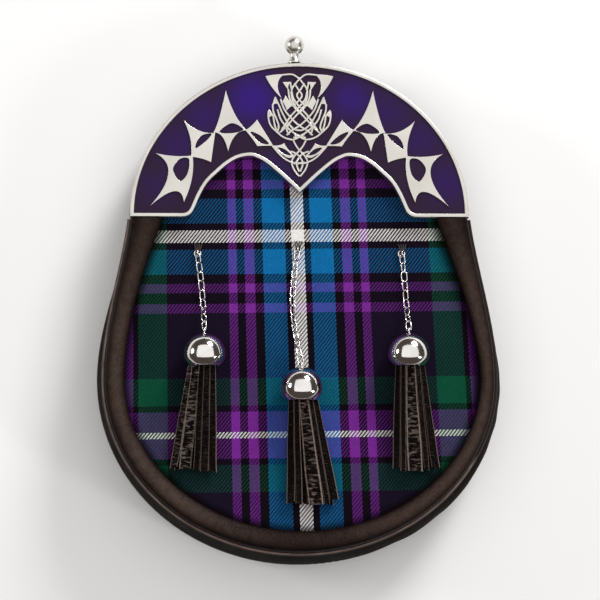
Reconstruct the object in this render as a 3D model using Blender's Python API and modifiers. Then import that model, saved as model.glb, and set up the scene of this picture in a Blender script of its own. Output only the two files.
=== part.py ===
"""Dress sporran pouch lying on its back: metres, +Y towards its top, +Z out of its face."""
import math

import bpy
import bmesh
from mathutils import Matrix, Vector

GAP = 0.0003                # between pieces that touch

# Silver top plate
CANTLE_WIDTH = 0.1615
CANTLE_HEIGHT = 0.0745
RIM_WIDTH = 0.0021
RIM_HEIGHT = 0.0055
PLATE_SETBACK = 0.0009      # plate's face below the rim's
PLATE_THICKNESS = 0.0017
RELIEF_HEIGHT = 0.0008
STRAND_WIDTH = 0.0011
FOOT_CORNER = 0.0035        # round corner where the scallop meets the lower edge

# Front, below the cantle's lower edge
CANTLE_OVERHANG = 0.00055   # of the cantle's ends past the front's shoulders
SHOULDER_WIDTH = CANTLE_WIDTH - 2 * CANTLE_OVERHANG
FRONT_WIDTH = 0.1852
FRONT_WIDEST_DROP = 0.0772
FRONT_DROP = 0.1591
FRONT_FLARE = 0.8
WINDOW_FLARE = 1.45
ROLL_SHOULDER = 0.0152
ROLL_SIDE = 0.0083
ROLL_BOTTOM = 0.0102
ROLL_HEIGHT = 0.0062
PIPING_RADIUS = 0.0011
CLOTH_THICKNESS = 0.001
LINE_INSET = 0.0008         # gusset's front edge inside the roll's outer edge

# Body
FACE_HEIGHT_TOP = 0.0205    # floor to cloth face, at the cantle's top
FACE_HEIGHT_BOTTOM = 0.038  # and at the bottom of the roll
LEATHER = 0.002
BACK_THICKNESS = 0.0022
WELT_RADIUS = 0.004
WELT_PROUD = 0.0008
REAR_SPREAD = 0.0035
REAR_SPREAD_BOTTOM = 0.0065
GUSSET_BULGE = 0.0018

# Back: pocket mouth, flap, stud and belt loops
MOUTH_WIDTH = 0.112
MOUTH_HEIGHT = 0.017
MOUTH_DROP = 0.027          # its middle, below the cantle's lower edge
FLAP_MARGIN = 0.008
FLAP_TONGUE = 0.034         # reach below the mouth
FLAP_STAND_OFF = 0.0046
STUD_HEAD_RADIUS = 0.0045
STUD_HEAD_HEIGHT = 0.0022
STUD_PIN_RADIUS = 0.0016
STUD_PLACE = 0.9            # share of the flap's length from its hinge
LOOP_SPACING = 0.09
LOOP_WIDTH = 0.02
LOOP_LENGTH = 0.046
LOOP_RISE = 0.017           # its middle, above the cantle's lower edge

# Finial
FINIAL_OFFSET = -0.0022
FINIAL_HEIGHT = 0.0131
FINIAL_BALL_RADIUS = 0.0046
FINIAL_NECK_RADIUS = 0.00235
FINIAL_FOOT_RADIUS = 0.0032
FINIAL_NECK = 0.34          # share of its height below the ball

# Chains
WIRE_RADIUS = 0.00038
LINK_PITCH = 0.0043
LINK_HALF_WIDTH = 0.0015
LINK_BITE = 0.00022         # how deep neighbouring links are fused
EYE_RADIUS = 0.0015
EYE_WASHER_RADIUS = 0.0026
EYE_WASHER_HEIGHT = 0.0006
CHAIN_LEVEL = 0.0024        # of the wire's middle, over the cloth
CHAIN_RISE_START = 0.6      # share of the way where the chain leaves the cloth for the bell
RING_WIRE_RADIUS = 1.1 * WIRE_RADIUS
RING_OFFSET = 0.75 * EYE_RADIUS     # of the bell's ring over the bell's top

# Tassels
BELL_RADIUS = 0.01
BELL_LENGTH = 0.0155
BELL_WALL = 0.001
TASSEL_HEAD_RADIUS = 0.0069
STRIP_THICKNESS = 0.0013
STRIP_TOP_WIDTH = 0.003
STRIP_END_WIDTH = 0.0042
STRIP_LENGTH = 0.049
STRIP_ROW_STEP = 0.0033     # rows of strips at the bell's mouth
TASSEL_HEAD_DEPTH = 0.45    # shares of the bell's length and of the head's depth
STRIP_BURIED = 0.6
STRIP_BEND_LENGTH = 0.45    # where a strip has nearly come down: shares of its run, fall, widening
STRIP_BEND_FALL = 0.85
STRIP_BEND_WIDENED = 0.6
STRIP_UNEVEN = 0.03         # every second strip ends this share shorter

# Eye and bell-top places on the face: shares of the front's half width, across, and of its
# drop; the chain's bow to the side and the fan of the strips' ends, from the bell's middle,
# as shares of that half width
TASSELS = [
    dict(side="left", eye=(-0.5248, 0.1062), bell=(-0.4914, 0.3507), bow=0.0065,
         fan_from=-0.1857, fan_to=0.0518),
    dict(side="middle", eye=(-0.0097, 0.0968), bell=(0.0043, 0.4525), bow=-0.0324,
         fan_from=-0.0324, fan_to=0.1782),
    dict(side="right", eye=(0.5270, 0.1062), bell=(0.5529, 0.3507), bow=0.0043,
         fan_from=-0.0594, fan_to=0.1404),
]

# Scalloped edge of the cantle, middle of its rim: shares of half width and of height
SCALLOP = [
    # across, up
    (0.624, 0.080),
    (0.594, 0.153),
    (0.550, 0.232),
    (0.488, 0.299),
    (0.429, 0.353),
    (0.365, 0.392),
    (0.290, 0.406),
    (0.240, 0.390),
    (0.188, 0.357),
    (0.100, 0.277),
]
SCALLOP_FOOT = 0.650        # share of half width where the scallop meets the lower edge
SCALLOP_TIP = 0.175         # share of height of the middle point

# Barbed twist on each side: crossings of its two strands, and the barbs between them,
# as shares of the cantle's half width and height; pinch draws the sides in
CROSSINGS = [
    # across, up
    (0.045, 0.355),
    (0.153, 0.462),
    (0.312, 0.570),
    (0.500, 0.538),
    (0.635, 0.379),
]
BARBS = [
    # outer tip across, up, inner tip across, up, pinch, eye's length and width
    (0.094, 0.478, 0.122, 0.376, 0.10, 0.26, 0.14),
    (0.253, 0.634, 0.253, 0.455, 0.30, 0.27, 0.10),
    (0.435, 0.818, 0.424, 0.424, 0.42, 0.30, 0.09),
    (0.690, 0.621, 0.527, 0.334, 0.42, 0.28, 0.09),
]
END_CELL = [
    # across, up: spike, long end tip, short end tip
    (0.853, 0.379),
    (0.882, 0.048),
    (0.683, 0.076),
]
END_EYE = (0.700, 0.277)
END_EYE_LENGTH = 0.033      # half the end eye, of the cantle's width
END_EYE_WIDTH = 0.022
END_PINCH = 0.42
LEVEL_STEP = 0.06           # share by which neighbouring cells differ in height and depth
CELL_DEPTH = 0.3            # share of the plate that cells and horns reach down into
HORN_HEIGHT = 0.85          # share of the relief's height
STRAND_DEPTH = 0.03         # of a strand's middle below the plate's face, and its step
STRAND_STEP = 0.025

# Thistle: shares of the cantle's half width and height
HORN = [
    # across, up
    (0.176, 0.914),
    (0.050, 0.930),
    (0.065, 0.898),
    (0.100, 0.857),
    (0.094, 0.780),
    (0.112, 0.764),
]
THISTLE_STRANDS = [
    # leaves, bulb, crossing bands, heart and stem on one side, across and up
    [(0.182, 0.697), (0.189, 0.646), (0.174, 0.583), (0.132, 0.546)],
    [(0.178, 0.688), (0.156, 0.655), (0.143, 0.608), (0.128, 0.556)],
    [(0.150, 0.777), (0.169, 0.723), (0.159, 0.659), (0.132, 0.583), (0.079, 0.525), (-0.02, 0.500)],
    [(0.145, 0.770), (0.118, 0.736), (0.129, 0.672), (0.115, 0.608), (0.072, 0.538)],
    [(0.126, 0.768), (0.085, 0.697), (0.026, 0.615), (-0.038, 0.557), (-0.103, 0.538)],
    [(0.079, 0.729), (0.038, 0.666), (-0.021, 0.608), (-0.079, 0.576), (-0.135, 0.608)],
    [(0.107, 0.871), (0.050, 0.825), (0.032, 0.710), (-0.026, 0.659), (-0.136, 0.645)],
    [(0.050, 0.930), (-0.035, 0.863), (0.035, 0.761), (-0.056, 0.678), (-0.091, 0.615)],
    [(0.047, 0.500), (0.0, 0.436), (-0.047, 0.366), (-0.029, 0.309), (0.004, 0.258)],
]

# Turned profiles and sections, as shares
BELL_PROFILE = [
    # down the axis, radius
    (0.00, 0.20),
    (0.07, 0.47),
    (0.25, 0.79),
    (0.50, 0.97),
    (0.72, 1.00),
    (1.00, 0.88),
]
ROLL_SECTION = [
    # across from the inner edge, height
    (0.00, 0.42),
    (0.09, 0.80),
    (0.33, 1.00),
    (0.66, 1.00),
    (0.91, 0.80),
    (1.00, 0.42),
    (0.86, 0.08),
    (0.50, 0.00),
    (0.14, 0.08),
]
GUSSET_LEVELS = [
    # depth from the back, bulge
    (0.00, 0.00),
    (0.22, 0.80),
    (0.70, 0.80),
    (1.00, 0.00),
]
FLAP_ROWS = [
    # length from the hinge, half width, stand-off
    (0.00, 1.00, 0.00),
    (0.08, 1.00, 0.10),
    (0.22, 1.00, 1.00),
    (0.45, 1.00, 1.00),
    (0.62, 0.88, 0.85),
    (0.78, 0.60, 0.10),
    (0.92, 0.34, 0.00),
    (1.00, 0.20, 0.00),
]
LOOP_PROFILE = [
    # length, stand-off
    (0.00, 0.0),
    (0.17, 0.0),
    (0.30, 1.0),
    (0.70, 1.0),
    (0.83, 0.0),
    (1.00, 0.0),
]
TASSEL_ROWS = [
    # strips, row from the cloth up
    (4, 0),
    (3, 1),
    (2, 2),
]

CROWN_STEPS = 14
RIM_STEPS = 28
FLANK_STEPS = 5
ROUND_STEPS = 16
TURN_STEPS = 12
LINK_STEPS = 3
WIRE_SIDES = 4
PINCH_STEPS = 3
STRAND_STEPS = 2


def clear_scene():
    for old in list(bpy.data.objects):
        bpy.data.objects.remove(old, do_unlink=True)


def new_collection(name):
    group = bpy.data.collections.new(name)
    bpy.context.scene.collection.children.link(group)
    return group


def make_material(name, colour, roughness, metallic=0.0):
    material = bpy.data.materials.new(name)
    material.use_nodes = True
    shader = material.node_tree.nodes["Principled BSDF"]
    shader.inputs["Base Color"].default_value = (*colour, 1.0)
    shader.inputs["Roughness"].default_value = roughness
    shader.inputs["Metallic"].default_value = metallic
    return material


clear_scene()
PARTS = new_collection("sporran_pouch")
CUTTERS = new_collection("cutters")
SILVER = make_material("silver", (0.78, 0.77, 0.74), 0.2, 1.0)
CHROME = make_material("chrome", (0.85, 0.85, 0.86), 0.08, 1.0)
TARTAN = make_material("tartan", (0.06, 0.05, 0.16), 0.9)
ROLL_LEATHER = make_material("roll_leather", (0.03, 0.018, 0.016), 0.45)
BODY_LEATHER = make_material("body_leather", (0.025, 0.016, 0.015), 0.55)
TASSEL_LEATHER = make_material("tassel_leather", (0.03, 0.02, 0.018), 0.5)


class Outline:
    """A half ellipse above the cantle's lower edge, flanks and a round bottom below it."""

    def __init__(self, crown_width, crown_height, shoulder_width, width, widest_drop, drop, flare):
        self.crown = crown_width / 2
        self.crown_height = crown_height
        self.shoulder = shoulder_width / 2
        self.widest = width / 2
        self.widest_drop = widest_drop
        self.drop = drop
        self.flare = flare

    def grown(self, by):
        return Outline(2 * (self.crown + by), self.crown_height + by, 2 * (self.shoulder + by),
                       2 * (self.widest + by), self.widest_drop, self.drop + by, self.flare)

    def half_width(self, drop):
        share = drop / self.widest_drop
        swell = self.flare * share * (1 - share) ** 2 + share ** 2 * (3 - 2 * share)
        return self.shoulder + (self.widest - self.shoulder) * swell

    def lower(self, top=0.0):
        """From the left shoulder down and round to the right shoulder."""
        flank = []
        for i in range(FLANK_STEPS):
            drop = top + (self.widest_drop - top) * i / FLANK_STEPS
            flank.append((-self.half_width(drop), -drop))
        bottom = []
        for i in range(ROUND_STEPS + 1):
            angle = math.pi * i / ROUND_STEPS
            bottom.append((-self.widest * math.cos(angle),
                           -self.widest_drop - (self.drop - self.widest_drop) * math.sin(angle)))
        return flank + bottom + [(-x, y) for x, y in reversed(flank)]

    def closed(self):
        crown = []
        for i in range(1, CROWN_STEPS):
            angle = math.pi * i / CROWN_STEPS
            crown.append((self.crown * math.cos(angle), self.crown_height * math.sin(angle)))
        return self.lower() + crown


FRONT = Outline(CANTLE_WIDTH, CANTLE_HEIGHT, SHOULDER_WIDTH, FRONT_WIDTH,
                FRONT_WIDEST_DROP, FRONT_DROP, FRONT_FLARE)
WINDOW = Outline(CANTLE_WIDTH, CANTLE_HEIGHT, SHOULDER_WIDTH - 2 * ROLL_SHOULDER,
                 FRONT_WIDTH - 2 * ROLL_SIDE, FRONT_WIDEST_DROP, FRONT_DROP - ROLL_BOTTOM,
                 WINDOW_FLARE)
REAR = Outline(CANTLE_WIDTH - 2 * LINE_INSET, CANTLE_HEIGHT - LINE_INSET,
               SHOULDER_WIDTH - 2 * LINE_INSET, FRONT_WIDTH + 2 * REAR_SPREAD,
               FRONT_WIDEST_DROP, FRONT_DROP + REAR_SPREAD_BOTTOM, FRONT_FLARE)

TILT = math.atan((FACE_HEIGHT_BOTTOM - FACE_HEIGHT_TOP) / (CANTLE_HEIGHT + FRONT_DROP))
FACE_HEIGHT = FACE_HEIGHT_TOP + CANTLE_HEIGHT * math.tan(TILT)
BACK_OUTER = 2 * WELT_RADIUS + GAP
BACK_INNER = BACK_OUTER + BACK_THICKNESS
CLOTH_EDGE = -(LINE_INSET + LEATHER + GAP)
WALL_TOP = -CLOTH_THICKNESS - GAP
RIM_TOP = GAP + RIM_HEIGHT
PLATE_TOP = RIM_TOP - PLATE_SETBACK
BELL_AXIS = GAP + BELL_RADIUS


def finial_seat():
    """Height of the rim's top edge under the finial's middle."""
    share = FINIAL_OFFSET / (CANTLE_WIDTH / 2)
    return CANTLE_HEIGHT * math.sqrt(1 - share ** 2)


def add_empty(name, parent=None, location=(0, 0, 0), rotation=(0, 0, 0)):
    empty = bpy.data.objects.new(name, None)
    PARTS.objects.link(empty)
    empty.parent = parent
    empty.location = location
    empty.rotation_euler = rotation
    return empty


def front_to_pouch(x, y, z):
    tilted = Matrix.Rotation(-TILT, 3, "X") @ Vector((x, y, z))
    return tilted + Vector((0, 0, FACE_HEIGHT))


def box_middle():
    """Middle, in Y, between the top of the finial and the bottom of the welt."""
    ball = front_to_pouch(0, finial_seat() + GAP + FINIAL_HEIGHT - FINIAL_BALL_RADIUS,
                          RIM_TOP / 2)
    top = ball.y + FINIAL_BALL_RADIUS
    bottom = -REAR.grown(WELT_PROUD).drop
    return (top + bottom) / 2


ROOT = add_empty("pouch", location=(0, -box_middle(), 0))
FACE = add_empty("face", ROOT, (0, 0, FACE_HEIGHT), (-TILT, 0, 0))


def finish(obj, material, parent, smooth=40):
    """Give an object its material and parent, and smooth shading."""
    obj.data.materials.clear()
    obj.data.materials.append(material)
    obj.parent = parent
    if smooth and obj.type == "MESH":
        obj.data.shade_smooth()
        obj.data.set_sharp_from_angle(angle=math.radians(smooth))
    return obj


def add_mesh(name, points, faces):
    mesh = bpy.data.meshes.new(name)
    mesh.from_pydata([tuple(point) for point in points], [], faces)
    obj = bpy.data.objects.new(name, mesh)
    PARTS.objects.link(obj)
    return obj


def thicken(obj, along_normals):
    """Make a surface a leather wall, out along its face normals or back from them."""
    wall = obj.modifiers.new("wall", "SOLIDIFY")
    wall.thickness = LEATHER
    wall.offset = 1 if along_normals else -1
    wall.use_even_offset = True


def grid_faces(rows, columns, closed=False):
    """Faces of a grid of points; a closed one joins its last column to the first."""
    faces = []
    for i in range(rows - 1):
        for k in range(columns if closed else columns - 1):
            this, after = i * columns + k, i * columns + (k + 1) % columns
            faces.append((this, after, after + columns, this + columns))
    return faces


def loft(name, rings, closed=False):
    """Skin equal rings of points, capped at both ends or joined end to end."""
    count = len(rings[0])
    points = [point for ring in rings for point in ring]
    faces = []
    spans = len(rings) if closed else len(rings) - 1
    for i in range(spans):
        this, following = i * count, (i + 1) % len(rings) * count
        for k in range(count):
            after = (k + 1) % count
            faces.append((this + k, this + after, following + after, following + k))
    if not closed:
        faces.append(tuple(reversed(range(count))))
        faces.append(tuple(len(points) - count + k for k in range(count)))
    obj = add_mesh(name, points, faces)
    shape = bmesh.new()
    shape.from_mesh(obj.data)
    bmesh.ops.recalc_face_normals(shape, faces=shape.faces)
    shape.to_mesh(obj.data)
    shape.free()
    return obj


def curve_object(name, routes, closed, dimensions="3D"):
    curve = bpy.data.curves.new(name, "CURVE")
    curve.dimensions = dimensions
    for route in routes:
        spline = curve.splines.new("POLY")
        spline.points.add(len(route) - 1)
        for point, place in zip(spline.points, route):
            point.co = (*place, 1.0)
        spline.use_cyclic_u = closed
    obj = bpy.data.objects.new(name, curve)
    PARTS.objects.link(obj)
    return obj


def tube(name, route, radius, closed=False, resolution=1):
    obj = curve_object(name, [route], closed)
    obj.data.bevel_depth = radius
    obj.data.bevel_resolution = resolution
    obj.data.use_fill_caps = not closed
    return obj


def slab(name, outlines, low, high):
    """A flat outline, with holes, from one level to another."""
    routes = [[(x, y, 0.0) for x, y in outline] for outline in outlines]
    obj = curve_object(name, routes, True, "2D")
    obj.data.fill_mode = "BOTH"
    obj.data.extrude = (high - low) / 2
    obj.location.z = (high + low) / 2
    return obj


def as_mesh(obj):
    """Turn a curve, or an object with modifiers, into a welded mesh where it stands."""
    bpy.context.view_layer.update()
    graph = bpy.context.evaluated_depsgraph_get()
    mesh = bpy.data.meshes.new_from_object(obj.evaluated_get(graph))
    mesh.transform(obj.matrix_world)
    name = obj.name
    bpy.data.objects.remove(obj, do_unlink=True)
    shape = bmesh.new()
    shape.from_mesh(mesh)
    bmesh.ops.remove_doubles(shape, verts=shape.verts, dist=0.00001)
    bmesh.ops.recalc_face_normals(shape, faces=shape.faces)
    shape.to_mesh(mesh)
    shape.free()
    result = bpy.data.objects.new(name, mesh)
    result.data.name = name
    PARTS.objects.link(result)
    return result


def combine(name, pieces, solver="EXACT"):
    """Join closed meshes into one body."""
    base = pieces[0]
    for piece in pieces[1:]:
        modifier = base.modifiers.new("join", "BOOLEAN")
        modifier.operation = "UNION"
        modifier.solver = solver
        modifier.object = piece
    result = as_mesh(base)
    for piece in pieces[1:]:
        bpy.data.objects.remove(piece, do_unlink=True)
    result.name = name
    return result


def screw(name, profile, steps=TURN_STEPS):
    """Turn a profile of (radius, height), running down its outer side, about Z."""
    points = [(radius, 0.0, height) for radius, height in profile]
    edges = [(i, i + 1) for i in range(len(points) - 1)]
    mesh = bpy.data.meshes.new(name)
    mesh.from_pydata(points, edges, [])
    obj = bpy.data.objects.new(name, mesh)
    PARTS.objects.link(obj)
    turn = obj.modifiers.new("turn", "SCREW")
    turn.steps = steps
    turn.render_steps = steps
    turn.use_merge_vertices = True
    turn.merge_threshold = 0.00002
    return obj


def smooth_route(points, steps):
    """Points on a Catmull-Rom curve through the given ones."""
    ends = [points[0]] + list(points) + [points[-1]]
    route = []
    for i in range(len(points) - 1):
        a, b, c, d = (Vector(p) for p in ends[i:i + 4])
        for k in range(steps):
            t = k / steps
            route.append(0.5 * (2 * b + (c - a) * t + (2 * a - 5 * b + 4 * c - d) * t ** 2
                                + (3 * b - a - 3 * c + d) * t ** 3))
    route.append(Vector(points[-1]))
    return route


def shifted(outline, distance):
    """A closed outline moved outwards, with mitred corners; it runs counter-clockwise."""
    moved = []
    count = len(outline)
    for i, point in enumerate(outline):
        here = Vector(point)
        before = (here - Vector(outline[i - 1])).normalized()
        after = (Vector(outline[(i + 1) % count]) - here).normalized()
        normal = Vector((before.y, -before.x)) + Vector((after.y, -after.x))
        scale = distance * 2 / normal.length_squared
        moved.append(tuple(here + normal * scale))
    return moved


def cantle_midline():
    """Middle line of the rim: lower edge, scallop, lower edge, crown."""
    half = CANTLE_WIDTH / 2
    low = RIM_WIDTH / 2
    foot = (half * SCALLOP_FOOT, low)
    rise = Vector((half * SCALLOP[0][0], CANTLE_HEIGHT * SCALLOP[0][1])) - Vector(foot)
    rise = rise.normalized() * FOOT_CORNER
    corner = [(foot[0] + FOOT_CORNER, low), (foot[0] + FOOT_CORNER * 0.25, low + rise.y * 0.15),
              (foot[0] + rise.x, low + rise.y)]
    lobe = corner + [(half * x, CANTLE_HEIGHT * y) for x, y in SCALLOP]
    left = [(-x, y) for x, y in lobe]
    crown = []
    for i in range(RIM_STEPS + 1):
        angle = math.pi * i / RIM_STEPS
        crown.append(((half - low) * math.cos(angle),
                      low + (CANTLE_HEIGHT - 2 * low) * math.sin(angle)))
    middle = [(0.0, CANTLE_HEIGHT * SCALLOP_TIP)]
    return left + middle + [(x, y) for x, y in reversed(lobe)] + crown


def on_cantle(across, up, side=1):
    return Vector((side * across * CANTLE_WIDTH / 2, up * CANTLE_HEIGHT))


def pinched(corners, centre, pinch, steps=PINCH_STEPS):
    """Outline through the corners; its long sides are drawn in towards the centre."""
    outline = []
    for i, corner in enumerate(corners):
        following = corners[(i + 1) % len(corners)]
        middle = (corner + following) / 2
        if (following - corner).length < 2 * STRAND_WIDTH:
            outline.append(tuple(corner))
            continue
        pull = middle.lerp(centre, pinch)
        for k in range(steps):
            t = k / steps
            point = corner * (1 - t) ** 2 + pull * 2 * t * (1 - t) + following * t ** 2
            outline.append(tuple(point))
    return outline


def ring_of(centre, half_long, half_short, direction, count=8):
    along = direction.normalized()
    across = Vector((-along.y, along.x))
    points = []
    for i in range(count):
        angle = 2 * math.pi * i / count
        points.append(tuple(centre + along * half_long * math.cos(angle)
                            + across * half_short * math.sin(angle)))
    return points


def blunt(point, towards, side):
    """Two corners just past a crossing, so that neighbouring cells are fused there."""
    along = (point - towards).normalized()
    across = Vector((-along.y, along.x)) * STRAND_WIDTH / 2 * side
    end = point + along * STRAND_WIDTH * 0.45
    return [end - across, end + across]


def twist_cells(side):
    """Outline and eye of each barbed cell of one side's twist."""
    cells = []
    crossings = [on_cantle(x, y, side) for x, y in CROSSINGS]
    for i, (outer_x, outer_y, inner_x, inner_y, pinch, long, wide) in enumerate(BARBS):
        start, end = crossings[i], crossings[i + 1]
        outer, inner = on_cantle(outer_x, outer_y, side), on_cantle(inner_x, inner_y, side)
        centre = (start + end) / 2
        corners = (blunt(start, end, side) + [inner] + blunt(end, start, side) + [outer])
        eye = ring_of(centre, (end - start).length * long, (outer - inner).length * wide,
                      end - start)
        cells.append((pinched(corners, centre, pinch), eye))
    start = crossings[-1]
    centre = on_cantle(*END_EYE, side)
    tips = [on_cantle(x, y, side) for x, y in END_CELL]
    corners = blunt(start, centre, side) + list(reversed(tips))
    eye = ring_of(centre, END_EYE_LENGTH * CANTLE_WIDTH, END_EYE_WIDTH * CANTLE_WIDTH,
                  Vector((0, 1)))
    cells.append((pinched(corners, centre, END_PINCH), eye))
    return cells


def relief_pieces():
    """Raised cells and strands; levels differ a little so that no two faces coincide."""
    pieces = []
    for side in (-1, 1):
        for i, (outline, eye) in enumerate(twist_cells(side)):
            level = PLATE_TOP + RELIEF_HEIGHT * (1 - LEVEL_STEP * (i % 2))
            depth = PLATE_TOP - PLATE_THICKNESS * (CELL_DEPTH + LEVEL_STEP * (i % 2))
            pieces.append(as_mesh(slab("cell", [outline, eye], depth, level)))
        horn = [tuple(on_cantle(x, y, side)) for x, y in HORN]
        pieces.append(as_mesh(slab("horn", [horn],
                                   PLATE_TOP - PLATE_THICKNESS * (CELL_DEPTH + 2 * LEVEL_STEP),
                                   PLATE_TOP + RELIEF_HEIGHT * (HORN_HEIGHT + LEVEL_STEP * side))))
        for i, strand in enumerate(THISTLE_STRANDS):
            level = PLATE_TOP - RELIEF_HEIGHT * (STRAND_DEPTH + STRAND_STEP * (i + side / 2))
            route = smooth_route([(*on_cantle(x, y, side), level) for x, y in strand],
                                 STRAND_STEPS)
            pieces.append(as_mesh(tube("strand", route, STRAND_WIDTH / 2, resolution=0)))
    return pieces


def build_cantle():
    midline = cantle_midline()
    outer = shifted(midline, RIM_WIDTH / 2)
    inner = shifted(midline, -RIM_WIDTH / 2)
    under_rim = shifted(midline, -RIM_WIDTH / 4)
    rim = as_mesh(slab("rim", [outer, inner], GAP, RIM_TOP))
    plate = as_mesh(slab("plate", [under_rim], PLATE_TOP - PLATE_THICKNESS, PLATE_TOP))
    cantle = combine("cantle", [rim, plate] + relief_pieces(), "MANIFOLD")
    finish(cantle, SILVER, FACE, 30)


def build_finial():
    neck = FINIAL_NECK * FINIAL_HEIGHT
    ball = FINIAL_HEIGHT - FINIAL_BALL_RADIUS
    start = math.asin(FINIAL_NECK_RADIUS / FINIAL_BALL_RADIUS)
    profile = []
    for i in range(9):
        angle = (math.pi - start) * i / 8
        profile.append((FINIAL_BALL_RADIUS * math.sin(angle),
                        ball + FINIAL_BALL_RADIUS * math.cos(angle)))
    profile += [(FINIAL_NECK_RADIUS * 0.9, neck * 0.75), (FINIAL_FOOT_RADIUS, neck * 0.2),
                (FINIAL_FOOT_RADIUS, 0.0), (0.0, 0.0)]
    finial = as_mesh(screw("finial", profile))
    finial.rotation_euler = (-math.pi / 2, 0, 0)
    finial.location = (FINIAL_OFFSET, finial_seat() + GAP, RIM_TOP / 2)
    finish(finial, SILVER, FACE)


def build_front():
    cloth = FRONT.grown(CLOTH_EDGE).closed()
    panel = as_mesh(slab("tartan_panel", [cloth], -CLOTH_THICKNESS, 0.0))
    finish(panel, TARTAN, FACE)
    wall = as_mesh(slab("front_wall", [cloth], WALL_TOP - LEATHER, WALL_TOP))
    finish(wall, BODY_LEATHER, FACE)
    rings = []
    for inner, outer in zip(WINDOW.lower(GAP), FRONT.lower(GAP)):
        inner, outer = Vector(inner), Vector(outer)
        rings.append([(*inner.lerp(outer, share), GAP + ROLL_HEIGHT * height)
                      for share, height in ROLL_SECTION])
    finish(loft("front_roll", rings), ROLL_LEATHER, FACE, 60)
    seam = FRONT.grown(PIPING_RADIUS - GAP)
    route = [(x, y, 0.0) for x, y in seam.lower(2 * GAP)]
    finish(tube("front_piping", route, PIPING_RADIUS), ROLL_LEATHER, FACE)


def build_gusset():
    """The side wall: a surface from the back edge to the front edge, thickened inwards."""
    levels = []
    for depth, bulge in GUSSET_LEVELS:
        rear = REAR.grown(GUSSET_BULGE * bulge).closed()
        front = FRONT.grown(-LINE_INSET + GUSSET_BULGE * bulge).closed()
        levels.append([Vector((*low, BACK_OUTER)).lerp(front_to_pouch(*high, 0.0), depth)
                       for low, high in zip(rear, front)])
    faces = grid_faces(len(levels), len(levels[0]), closed=True)
    gusset = add_mesh("gusset", [point for level in levels for point in level], faces)
    thicken(gusset, along_normals=False)
    finish(gusset, BODY_LEATHER, ROOT, 60)


def build_back():
    welt_line = REAR.grown(WELT_PROUD - WELT_RADIUS).closed()
    route = [(x, y, WELT_RADIUS) for x, y in welt_line]
    welt = tube("rear_welt", route, WELT_RADIUS, closed=True, resolution=2)
    finish(as_mesh(welt), ROLL_LEATHER, ROOT, 60)
    edge = REAR.grown(-LEATHER - GAP).closed()
    mouth = []
    end = MOUTH_HEIGHT / 2
    for side in (1, -1):
        for i in range(7):
            angle = side * math.pi / 2 - math.pi * i / 6
            mouth.append((side * (MOUTH_WIDTH / 2 - end) + end * math.cos(angle),
                          -MOUTH_DROP + end * math.sin(angle)))
    panel = as_mesh(slab("back_panel", [edge, mouth], BACK_OUTER, BACK_INNER))
    finish(panel, BODY_LEATHER, ROOT)


def build_flap():
    """A tongue over the mouth, bowed off the back, with a hole for the stud's pin."""
    top = MOUTH_HEIGHT / 2 + FLAP_MARGIN - MOUTH_DROP
    length = MOUTH_HEIGHT + FLAP_MARGIN + FLAP_TONGUE
    half = MOUTH_WIDTH / 2 + FLAP_MARGIN
    across = [-1.0, -0.5, 0.0, 0.5, 1.0]
    points = []
    for share, width, stand_off in FLAP_ROWS:
        level = BACK_OUTER - GAP - FLAP_STAND_OFF * stand_off
        points += [(half * width * x, top - length * share, level) for x in across]
    flap = add_mesh("back_flap", points, grid_faces(len(FLAP_ROWS), len(across)))
    thicken(flap, along_normals=True)
    flap = as_mesh(flap)
    stud_y = top - length * STUD_PLACE
    bpy.ops.mesh.primitive_cylinder_add(vertices=12, radius=STUD_PIN_RADIUS + GAP,
                                        depth=4 * LEATHER,
                                        location=(0, stud_y, BACK_OUTER - GAP - LEATHER / 2))
    cutter = bpy.context.object
    cutter.name = "pin_hole"
    cutter.hide_render = True
    cutter.display_type = "WIRE"
    for group in list(cutter.users_collection):
        group.objects.unlink(cutter)
    CUTTERS.objects.link(cutter)
    cut = flap.modifiers.new("pin_hole", "BOOLEAN")
    cut.operation = "DIFFERENCE"
    cut.object = cutter
    cutter.parent = ROOT
    finish(flap, BODY_LEATHER, ROOT)

    head_top = BACK_OUTER - 2 * GAP - LEATHER - GAP
    profile = [(0.0, BACK_OUTER - GAP), (STUD_PIN_RADIUS, BACK_OUTER - GAP),
               (STUD_PIN_RADIUS, head_top), (STUD_HEAD_RADIUS, head_top),
               (STUD_HEAD_RADIUS, head_top - STUD_HEAD_HEIGHT * 0.5),
               (STUD_HEAD_RADIUS * 0.6, head_top - STUD_HEAD_HEIGHT),
               (0.0, head_top - STUD_HEAD_HEIGHT)]
    stud = as_mesh(screw("flap_stud", profile, 12))
    stud.location.y = stud_y
    finish(stud, SILVER, ROOT)


def build_belt_loops():
    for name, side in (("belt_loop_left", -1), ("belt_loop_right", 1)):
        points = []
        for length, stand_off in LOOP_PROFILE:
            level = (BACK_OUTER - GAP - LEATHER) * (1 - stand_off)
            y = LOOP_RISE + LOOP_LENGTH * (length - 0.5)
            points += [(side * LOOP_SPACING / 2 + LOOP_WIDTH * x, y, level) for x in (-0.5, 0.5)]
        strap = add_mesh(name, points, grid_faces(len(LOOP_PROFILE), 2))
        thicken(strap, along_normals=True)
        finish(strap, BODY_LEATHER, ROOT)


def on_face(share):
    """A place across the front and below the cantle's lower edge, from its two shares."""
    return Vector((FRONT_WIDTH / 2 * share[0], -FRONT_DROP * share[1]))


def wire_ring(name, centre, radius, wire, turn=(0, math.pi / 2, 0)):
    bpy.ops.mesh.primitive_torus_add(major_radius=radius, minor_radius=wire, major_segments=10,
                                     minor_segments=6, location=centre, rotation=turn)
    ring = bpy.context.object
    ring.name = name
    for group in list(ring.users_collection):
        group.objects.unlink(ring)
    PARTS.objects.link(ring)
    return as_mesh(ring)


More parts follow.
